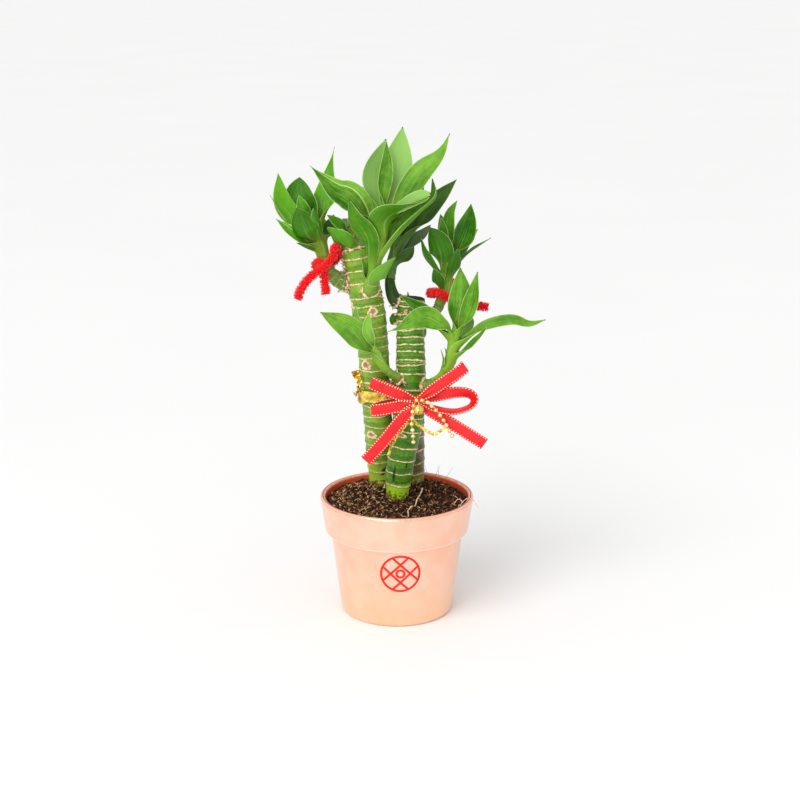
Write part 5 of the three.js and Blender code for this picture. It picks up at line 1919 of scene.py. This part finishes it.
    def root_shell(self) -> Shell:
        """Loose roots: a pale one with a fork, a loop at the rim on the right, and four hairs behind."""
        shells = []
        for radius, flat in self.flat_roots:
            laid = Path.through([(x, y, 0.0) for x, y in flat], steps(12)).points
            laid[:, 2] = self.height(laid[:, 0], laid[:, 1]) + 1.5
            laid = Path.through(laid, steps(60)).points
            kinks = np.stack([cloud_noise(laid, 3.0, 60 + k) for k in range(3)], axis=-1)
            path = Path.through(laid + kinks * (0.5, 0.5, 0.15), steps(60))
            shells.append(tube(path, radius * mix(1.1, 0.6, path.shares), 10, tone=0.6))
        rim = float(self.pot.inside_radius(self.edge_height))
        loop = Path.through(np.array(self.rim_loop) + (rim, 0.0, 0.0), steps(80))
        shells.append(tube(loop, 0.28, 8, UP, tone=0.45))
        rng = np.random.default_rng(93)
        for lean, x in self.hairs:
            y = 34.0 - 0.3 * (x - 22.0)
            base = float(self.height(x, y))
            sway = rng.uniform(-1.0, 1.0, 2)
            middle, tip = (x + lean, y + sway[0], base + 6), (x + 2.2 * lean, y + sway[1], base + 12)
            hair = Path.through([(x, y, base), middle, tip], steps(16))
            shells.append(tube(hair, mix(0.16, 0.07, hair.shares), 5, tone=-0.6))
        return Shell.joined(shells)

    def build(self) -> None:
        """Makes the peat, its crumbs and fibres, and the roots."""
        peat = PeatFinish().build()
        make_piece("peat", self.body(), peat, Slot.SOIL, ["soil"])
        make_piece("peat_crumbs", self.crumb_shell(), peat, Slot.SOIL)
        make_piece("peat_fibres", self.fibre_shell(), peat, Slot.SOIL)
        root = PlainFinish("pale_root", "b98456", "f6dab4", 0.6, scale=0.5, bump=0.06).build()
        make_piece("loose_roots", self.root_shell(), root, Slot.ROOT, ["loose_root"])


# Bow, garland, foil and chenille


@dataclass(frozen=True)
class Run:
    """One run of the ribbon.

    Args:
        points: Points along its middle, from the knot.
        returns: Whether it ends in the knot too.
        twist: Shares of the run, and the degrees that it has turned about its own middle there.
    """

    points: tuple[Point, ...]
    returns: bool
    twist: tuple[tuple[float, float], ...] = ((0.0, 0.0),)


@dataclass(frozen=True)
class Bow:
    """The red satin bow with gold thread along both edges of its ribbon."""

    width: float = 7.9
    thickness: float = 0.3
    pinch: float = 0.6
    pinched_for: float = 0.15
    pleat: float = 0.55
    pleated_for: float = 0.28
    crown: float = 0.35
    stitch_pitch: float = 1.8
    stitch_inset: float = 0.6
    stitch_size: float = 0.42
    thread: float = 0.04
    knot_centre: Point = (12.7, -20.1, 146.2)
    knot_deep: float = 2.4
    knot_tall: float = 3.6
    knot_wide: float = 2.5
    knot_wall: float = 0.6
    runs: tuple[Run, ...] = (
        Run(((11, -21.5, 147), (-2, -24, 152.5), (-13, -25, 157.5), (-16, -23.3, 158.8),
             (-13.5, -21.2, 157.5), (-2, -19.8, 152), (10, -19.6, 147)), True),
        Run(((11, -21.5, 145.5), (-1, -23.6, 143), (-13, -24.6, 141.3), (-15.8, -22.8, 141),
             (-13, -20.8, 144), (-1, -19.6, 146.5), (10, -19.6, 147)), True),
        Run(((11, -21.5, 144), (2, -24, 134), (-9, -26, 120.5), (-19.5, -26, 108.5)), False),
        Run(((14, -21.5, 147.5), (28, -24.5, 158.5), (39.5, -25.5, 167), (42.2, -23.8, 169.2),
             (39, -21.7, 165.3), (27, -20.2, 155.8), (15, -19.6, 147)), True),
        Run(((14, -20.5, 147), (25, -20, 149.5), (36, -20, 151.5), (45, -20.5, 151), (48.5, -22, 147.5),
             (45.5, -24, 143.2), (36, -24.5, 140.3), (25, -23.5, 141.5), (14, -21.5, 145)), True,
            ((0.2, 0.0), (0.36, 20.0), (0.5, 34.0), (0.58, 36.0), (0.74, 32.0), (1.0, 30.0))),
        Run(((14, -21.5, 144.5), (26, -24, 137.5), (40, -25, 129), (55, -24, 119)), False),
    )

    def frames(self, run: Run, count: int) -> tuple[Path, Array, Array, Array, Array]:
        """How the ribbon lies along a run.

        Args:
            run: The run.
            count: How many steps it gets.

        Returns:
            Its stations, the directions of its face and of its edge after the twist, half its width and
            its share of the length from the knot.
        """
        path = Path.through(run.points, steps(count))
        turn = np.radians(np.interp(path.shares, *zip(*run.twist)))[:, None]
        face, edge = twisted(*path.carried(FRONT), turn)
        near = (np.minimum(path.shares, 1 - path.shares) if run.returns else path.shares)[:, None]
        width = self.width * mix(self.pinch, 1.0, smooth(near / self.pinched_for))
        return path, face, edge, width / 2, near

    def rise(self, near: Array, spread: Array) -> Array:
        """Height of the ribbon's middle layer: pleats that fade away from the knot, and a slight crown."""
        pleats = self.pleat * (1 - smooth(near / self.pleated_for)) * np.cos(spread * 2.5 * math.pi)
        return pleats + self.crown * (1 - spread**2)

    def run_shell(self, run: Run) -> Shell:
        """One run: a thin flat section along the path.

        Args:
            run: The run.

        Returns:
            The ribbon's skin, with the values run, its length so far, and tone, which paints shade near the
            knot and on the ribbon's back.
        """
        path, face, edge, half, near = self.frames(run, 120)
        spread, upper = strap_section(13)
        lift = self.rise(near, spread) + upper * self.thickness / 2
        return skin(moved(path.points, (edge, -spread * half), (face, lift)),
                    run=(path.shares * path.length)[:, None],
                    # Painted shade: darker near the knot and on the back, which lines the loops.
                    tone=0.12 + 0.33 * smooth(near / 0.3) + 0.12 * upper)

    def thread_shell(self, run: Run, hand: int) -> Shell:
        """The gold thread along one edge: a flat tube that swells into a stitch at every pitch.

        Args:
            run: The run of ribbon.
            hand: 1 for the left edge seen from the knot, -1 for the right.

        Returns:
            The thread.
        """
        path, face, edge, half, near = self.frames(run, 440)
        inset = (half - self.stitch_inset) * hand
        middle = path.points - edge * inset + face * self.rise(near, inset / half)
        wave = np.sin(TURN * path.shares * path.length / self.stitch_pitch)[:, None]
        swell = self.stitch_size * np.sqrt(np.maximum(wave, 0.0)) + self.thread
        angle = around(6)
        flat = (face, swell * 0.75 * np.cos(angle))
        return skin(moved(middle, flat, (np.cross(path.tangents, face), swell * np.sin(angle))), tone=0.6)

    def knot_shell(self) -> Shell:
        """The knot: a short band of ribbon wrapped round the middle, with two soft folds."""
        turn = around(64)[:, None]
        across, outer = strap_section(11)
        across = -across
        fold = 0.35 * np.cos(across * TURN) + 0.12 * np.sin(3 * turn + across * 2)
        fold = fold - self.knot_wall * (outer < 0)
        wide = self.knot_wide + 0.3 * np.sin(2 * turn)
        deep, tall = (self.knot_deep + fold) * np.cos(turn), (self.knot_tall + fold) * np.sin(turn)
        rings = xyz(across * wide, deep, tall) + self.knot_centre
        return skin(rings, looped=True, run=turn * 3.0, tone=0.3)

    def build(self) -> None:
        """Makes the ribbon and its gold thread."""
        ribbon = Shell.joined([self.run_shell(run) for run in self.runs] + [self.knot_shell()])
        make_piece("satin_bow", ribbon, SatinFinish().build(), Slot.RIBBON, ["ribbon_bow"])
        threads = Shell.joined([self.thread_shell(run, hand) for run, hand in product(self.runs, (-1, 1))])
        gold = PlainFinish("gold_thread", "f2d488", "fff6d4", 0.35, metallic=0.2, bump=0.03).build()
        make_piece("bow_gold_thread", threads, gold, Slot.BEADS)


@dataclass(frozen=True)
class Garland:
    """Gold beads on a thread in two strands, and a small round bell with a slot."""

    bead: float = 1.3
    thread: float = 0.24
    bell_centre: Point = (13.6, -26.6, 142.2)
    bell_radius: float = 3.4
    loop_radius: float = 1.1
    loop_wire: float = 0.32
    strands: tuple[tuple[float, tuple[tuple[float, float], ...]], ...] = (
        (-27.0, ((12.2, 148.5), (10.4, 144.9), (9.8, 141.1), (9.5, 136.9), (9.2, 133.0), (9.7, 129.1),
                 (10.1, 125.0), (10.3, 121.2))),
        (-28.0, ((15.6, 148.6), (19.0, 147.3), (21.7, 144.9), (24.4, 142.2), (26.9, 138.9), (29.1, 135.8),
                 (30.9, 132.5), (32.9, 128.9), (34.7, 125.5))),
    )

    def strand_shell(self, front: float, flat: tuple[tuple[float, float], ...]) -> Shell:
        """One strand: a thread, and a bead at each of its points.

        Args:
            front: Where the strand hangs along Y.
            flat: Side and height of each bead.

        Returns:
            The strand.
        """
        points = np.array([(x, front, z) for x, z in flat])
        axes = np.broadcast_to(np.eye(3) * self.bead, (len(points), 3, 3))
        beads = scattered(ball(9, 16), points, axes, tone=np.full(len(points), 0.6))
        return Shell.joined([tube(Path.through(points, steps(90)), self.thread, 8, tone=0.3), beads])

    def bell_shell(self) -> Shell:
        """A ball with a belt round its middle, a slot pressed into its front and painted dark as shade, and a
        wire loop on top.
        """
        shell = ball(46, 72)
        x, y, z = shell.points.T
        below = smooth((-z - 0.05) / 0.12) * smooth((-y - 0.1) / 0.2)
        slot = 0.22 * below * np.exp(-(x / 0.09) ** 2)
        radius = self.bell_radius * (1 + 0.07 * np.exp(-(z / 0.07) ** 2) - slot)
        shell.points = np.array(self.bell_centre) + shell.points * radius[:, None]
        # Painted shade: the slot is darkened as if it opened into the hollow bell.
        shell.values["tone"] = 0.1 - 3.0 * slot
        turn, section = around(40)[:, None], around(10)
        out = self.loop_radius + self.loop_wire * np.cos(section)
        loop = xyz(-self.loop_wire * np.sin(section), out * np.cos(turn), out * np.sin(turn))
        loop = loop + self.bell_centre + (0.0, 0.0, self.bell_radius + 0.6)
        return Shell.joined([shell, skin(loop, looped=True, tone=0.4)])

    def build(self) -> None:
        """Makes the strands and the bell."""
        shells = [self.strand_shell(*strand) for strand in self.strands] + [self.bell_shell()]
        gold = PlainFinish("pearl_gold", "d9a416", "fff3b4", 0.22, metallic=0.6, bump=0.01).build()
        make_piece("gold_garland", Shell.joined(shells), gold, Slot.BEADS, ["bead_garland"])


@dataclass(frozen=True)
class Tie:
    """The gold foil: a crumpled band round the canes with two twisted ends, and two thin strips.

    The strips start on the band, behind the knot, and carry the bow.
    """

    low: float = 142.0
    high: float = 148.0
    clearance: float = 2.0
    band_wall: float = 0.2
    hang: tuple[tuple[float, float], ...] = (
        (0, 0.0), (165, 0.0), (200, -3.4), (228, -3.0), (246.4, -0.6), (247.9, 3.9), (300, 3.0), (360, 0.0))
    ends: tuple[tuple[float, tuple[Point, ...]], ...] = (
        (5.6, ((-21.4, -2.5, 146.5), (-22.8, -3.4, 151.5), (-26.2, -4, 161.2))),
        (3.2, ((-21.4, -2.5, 146.5), (-24.0, -4.4, 147.6), (-26.8, -5, 145.6))),
    )
    strips: tuple[tuple[Point, ...], ...] = (
        ((13.6, -15.0, 146.2), (12.8, -17.6, 143.9), (11.5, -20.2, 140.5), (9.6, -21, 135),
         (15.8, -22, 128.9), (22.9, -22.5, 125.0), (23.7, -22.5, 124.8), (24.4, -22.5, 125.2),
         (31.5, -23, 129.9)),
        ((10.4, -15.8, 146.2), (10.8, -17.8, 143.9), (11.5, -20.2, 140.5), (9.2, -21, 135.2),
         (3.3, -21, 127.3), (-1.1, -20.5, 120.6), (-3.3, -20, 116.5), (-5.6, -18, 109.2)),
    )
    strip_width: float = 1.8
    strap_wall: float = 0.3

    def outline(self, turn: Array, allowance: float) -> Array:
        """Places round the three canes.

        Args:
            turn: Directions to look in.
            allowance: How far the places stand off the canes.

        Returns:
            X and Y at the furthest cane in each direction.
        """
        height = (self.low + self.high) / 2
        circles = np.array([(*cane.middle(height), cane.radius_at(height)) for cane in CANES])
        way = np.stack([np.cos(turn), np.sin(turn)], axis=-1)
        far = circles[(way @ circles[:, :2].T + circles[:, 2]).argmax(axis=1)]
        return far[:, :2] + way * (far[:, 2] + allowance)[:, None]

    def band_shell(self) -> Shell:
        """The band: the outline carried up, with an outer and an inner face, crumpled by noise.

        Its lower edge hangs down at the left, and rises to a narrow fold in front.
        """
        turn = around(120)
        foot = self.low + np.interp(np.degrees(turn), *zip(*self.hang))[:, None]
        faces = []
        for wall, shares in ((self.band_wall, steps(5)), (0.0, steps(5)[::-1])):
            flat = self.outline(turn, self.clearance + wall)[:, None]
            faces.append(xyz(flat[..., 0], flat[..., 1], mix(foot, self.high, shares)))
        points = np.concatenate(faces, axis=1)
        out = unit(points[..., :2] - points[..., :2].mean(axis=(0, 1)))
        seen = points * (1.0, 1.0, 0.5)
        crumple = 0.75 * cloud_noise(seen, 3.2, 51) + 0.5 * np.abs(cloud_noise(seen, 2.0, 52))
        points[..., :2] += out * crumple[..., None]
        # Painted light and shade: the tone follows the crumple, lighter where the foil bulges out, darker in
        # its dents.
        return skin(points[:, ::-1], looped=True, tone=0.1 + 0.75 * crumple[:, ::-1])

    def strap(self, points: tuple[Point, ...], width: Array, crumple: float, seed: int) -> Shell:
        """A foil strap: a thin rectangle along a curve, shaken by noise.

        Args:
            points: Points along it.
            width: Its width at each station.
            crumple: How far the noise moves it.
            seed: Seed of the noise.

        Returns:
            The strap.
        """
        path = Path.through(points, steps(len(width) - 1))
        across, side = path.carried(FRONT)
        spread, upper = strap_section(7)
        shake = crumple * cloud_noise(moved(path.points, (side, spread[None] * 2.0)), 1.4, seed)
        flat, wall = (side, -spread * width[:, None] / 2), (across, upper[None] * self.strap_wall / 2)
        # Painted light and shade: the tone follows the shake, lighter where the strap bulges, darker in its
        # dents.
        return skin(moved(path.points, flat, wall, (across, shake)), tone=0.3 + 0.4 * shake / crumple)

    def build(self) -> None:
        """Makes the band with its ends, and the strips."""
        foil = PlainFinish("crumpled_gold_foil", "a8740c", "ffe670", 0.22, metallic=0.8, scale=0.4, bump=0.08)
        material = foil.build()
        fan = mix(0.3, 1.0, smooth(steps(40)))
        ends = [self.strap(points, width * fan, 1.3, 55 + k) for k, (width, points) in enumerate(self.ends)]
        band = Shell.joined([self.band_shell(), *ends])
        make_piece("foil_band", band, material, Slot.FOIL, ["tie_band"], faceted=True)
        width = np.full(91, self.strip_width)
        strips = [self.strap(points, width, 0.25, 58 + k) for k, points in enumerate(self.strips)]
        make_piece("foil_strips", Shell.joined(strips), material, Slot.FOIL, ["tie_strips"], faceted=True)


@dataclass(frozen=True)
class Chenille:
    """Red chenille stems: a wire core wound with short pile that stands out in rows."""

    radius: float = 3.3
    core: float = 1.7
    row_pitch: float = 1.4
    pile_per_mm: int = 34
    spike: tuple[tuple[float, float], ...] = ((1.0, 0.0), (0.75, 0.6), (0.12, 1.0))
    wires: tuple[tuple[str, tuple[tuple[Point, ...], ...]], ...] = (
        ("chenille_left", (
            ((-43.8, -15, 213.5), (-44.6, -15.5, 225), (-45.6, -12.5, 230), (-48.5, -7.5, 231.5),
             (-50.6, 0, 228.5), (-48.5, 7, 226.5), (-42.5, 8.5, 226.5), (-37.5, 4.5, 232.5),
             (-37, -3, 238.5), (-38, -9, 241)),
            ((-37.4, -5.5, 240), (-38.2, -10.5, 241), (-39.5, -14, 236), (-45.5, -17.5, 229.8),
             (-53.5, -17.5, 224), (-58.5, -16, 217.5), (-61.4, -14, 210)),
        )),
        ("chenille_right", (
            ((35, 14.5, 217), (33, 14.6, 211.5), (27.5, 14, 208), (22, 9.5, 208.5), (21.3, 3, 210),
             (25, -1.6, 211.5), (31, -2.2, 208.5), (37.5, 0.5, 205), (46, 2.5, 202.7), (57.3, 2, 201)),
        )),
    )

    def wire_shell(self, points: tuple[Point, ...], seed: int) -> Shell:
        """One wire with its pile.

        The pile's roots lie on a fine screw about the wire, scattered a little. Each tuft is a thin
        three-sided spike from the core to the outer radius, leaning a little at random.

        Args:
            points: Points along the wire.
            seed: Seed of the scatter.

        Returns:
            Core and pile.
        """
        rng = np.random.default_rng(seed)
        wire = Path.through(points, steps(120))
        # Painted shade: the core's tone of -1 darkens it as the shade deep in the pile.
        core = tube(wire, self.core, 12, tone=-1.0)
        core.points += 0.25 * cloud_noise(core.points, 0.9, seed)[:, None] * unit(rng.normal(size=(1, 3)))
        count = int(wire.length * self.pile_per_mm)
        share = np.sort(rng.uniform(0.0, 1.0, count))
        rows = np.round(share * wire.length / self.row_pitch) * self.row_pitch / wire.length
        path = Path.through(points, np.sort(np.clip(mix(share, rows, 0.88), 0.0, 1.0)))
        across, side = path.carried(RIGHT)
        angle = rng.uniform(0.0, TURN, count)[:, None]
        out = across * np.cos(angle) + side * np.sin(angle)
        lean = unit(out + 0.26 * rng.normal(size=(count, 3)))
        length = (self.radius - 0.6 * self.core) * rng.uniform(0.66, 1.22, (count, 1))
        second = unit(np.cross(lean, path.tangents))
        thick = rng.uniform(0.26, 0.4, (count, 1))
        axes = np.stack([second * thick, np.cross(lean, second) * thick, lean * length], axis=1)
        spike = turned(np.array(self.spike), 3)
        places = path.points + out * 0.6 * self.core
        return Shell.joined([core, scattered(spike, places, axes, tone=rng.uniform(0.3, 1.0, count))])

    def build(self) -> None:
        """Makes both stems."""
        red = PlainFinish("red_pile", "ea0610", "ff4848", 0.9, scale=0.5, bump=0.02, specular=0.15).build()
        for number, (node, wires) in enumerate(self.wires):
            shells = [self.wire_shell(points, 200 + 10 * number + k) for k, points in enumerate(wires)]
            make_piece(f"{node}_pile", Shell.joined(shells), red, Slot.CHENILLE, [node])


# Studio


@dataclass(frozen=True)
class Studio:
    """A pale floor, soft light and the camera at the photograph's angle, in metres."""

    lens: float = 72.0
    sensor: float = 36.0
    pitch: float = 15.6
    distance: float = 1.022
    aim_height: float = 0.141
    shift: float = 0.004
    floor_half: float = 40.0
    world: float = 0.77
    sun: float = 1.15
    sun_spread: float = 32.0
    sun_turn: tuple[float, float] = (42.0, -38.0)
    sun_colour: Point = (1.0, 0.995, 0.985)
    softbox_place: Point = (-0.5, -1.9, 0.9)
    softbox_target: Point = (0.0, 0.0, 0.12)
    softbox_side: float = 1.1
    softbox_watts: float = 12.0

    @staticmethod
    def placed(name: str, content: bpy.types.ID, place: Point = (0.0, 0.0, 0.0),
               turn: Point = (0.0, 0.0, 0.0)) -> bpy.types.Object:
        """Puts a mesh, light or camera into the scene.

        Args:
            name: Name of the object.
            content: What it shows.
            place: Where it stands.
            turn: How it is turned, in radians about X, Y and Z.

        Returns:
            The object.
        """
        thing = bpy.data.objects.new(name, content)
        thing.location, thing.rotation_euler = place, turn
        bpy.context.scene.collection.objects.link(thing)
        return thing

    def floor(self) -> None:
        """Makes the floor."""
        mesh = bpy.data.meshes.new("floor")
        half = self.floor_half
        corners = [(-half, -half, 0.0), (half, -half, 0.0), (half, half, 0.0), (-half, half, 0.0)]
        mesh.from_pydata(corners, [], [(0, 1, 2, 3)])
        nodes = Surface("pale_floor", Roughness=0.7)
        tone = nodes.noise(nodes.add("TexCoord", "Object", {}), 3.0)
        mesh.materials.append(nodes.dress(Base_Color=nodes.blend(tone, "f2f2f2", "f6f6f6")))
        self.placed("floor", mesh)

    def lights(self) -> None:
        """Makes the softbox, the sun and the bright surroundings."""
        softbox = bpy.data.lights.new("front_softbox", "AREA")
        softbox.shape, softbox.size, softbox.energy = "SQUARE", self.softbox_side, self.softbox_watts
        way = np.subtract(self.softbox_place, self.softbox_target)
        tilt = math.atan2(math.hypot(way[0], way[1]), way[2])
        self.placed("front_softbox", softbox, self.softbox_place, (tilt, 0.0, math.atan2(way[0], -way[1])))
        sun = bpy.data.lights.new("key_light", "SUN")
        sun.energy, sun.angle, sun.color = self.sun, math.radians(self.sun_spread), self.sun_colour
        tilt, heading = np.radians(self.sun_turn)
        self.placed("key_light", sun, turn=(tilt, 0.0, heading))
        world = bpy.data.worlds.new("pale_studio")
        world.use_nodes = True
        background = world.node_tree.nodes["Background"]
        background.inputs["Color"].default_value = (1.0, 1.0, 1.0, 1.0)
        background.inputs["Strength"].default_value = self.world
        bpy.context.scene.world = world

    def camera(self) -> None:
        """Makes the camera."""
        camera = bpy.data.cameras.new("camera")
        camera.lens, camera.sensor_width, camera.shift_x = self.lens, self.sensor, self.shift
        pitch = math.radians(self.pitch)
        away, up = self.distance * math.cos(pitch), self.distance * math.sin(pitch)
        place = (0.0, -away, self.aim_height + up)
        bpy.context.scene.camera = self.placed("camera", camera, place, (math.pi / 2 - pitch, 0.0, 0.0))

    def build(self) -> None:
        """Makes the floor, the lights and the camera."""
        self.floor()
        self.lights()
        self.camera()
        bpy.context.scene.view_settings.view_transform = "Standard"


def main() -> None:
    """Builds the studio and every piece of the plant."""
    logging.basicConfig(level=logging.INFO, format="%(message)s")
    Studio().build()
    pot = Pot()
    for part in (pot, Soil(pot), Plant(), Bow(), Garland(), Tie(), Chenille()):
        part.build()


if __name__ == "__main__":
    main()
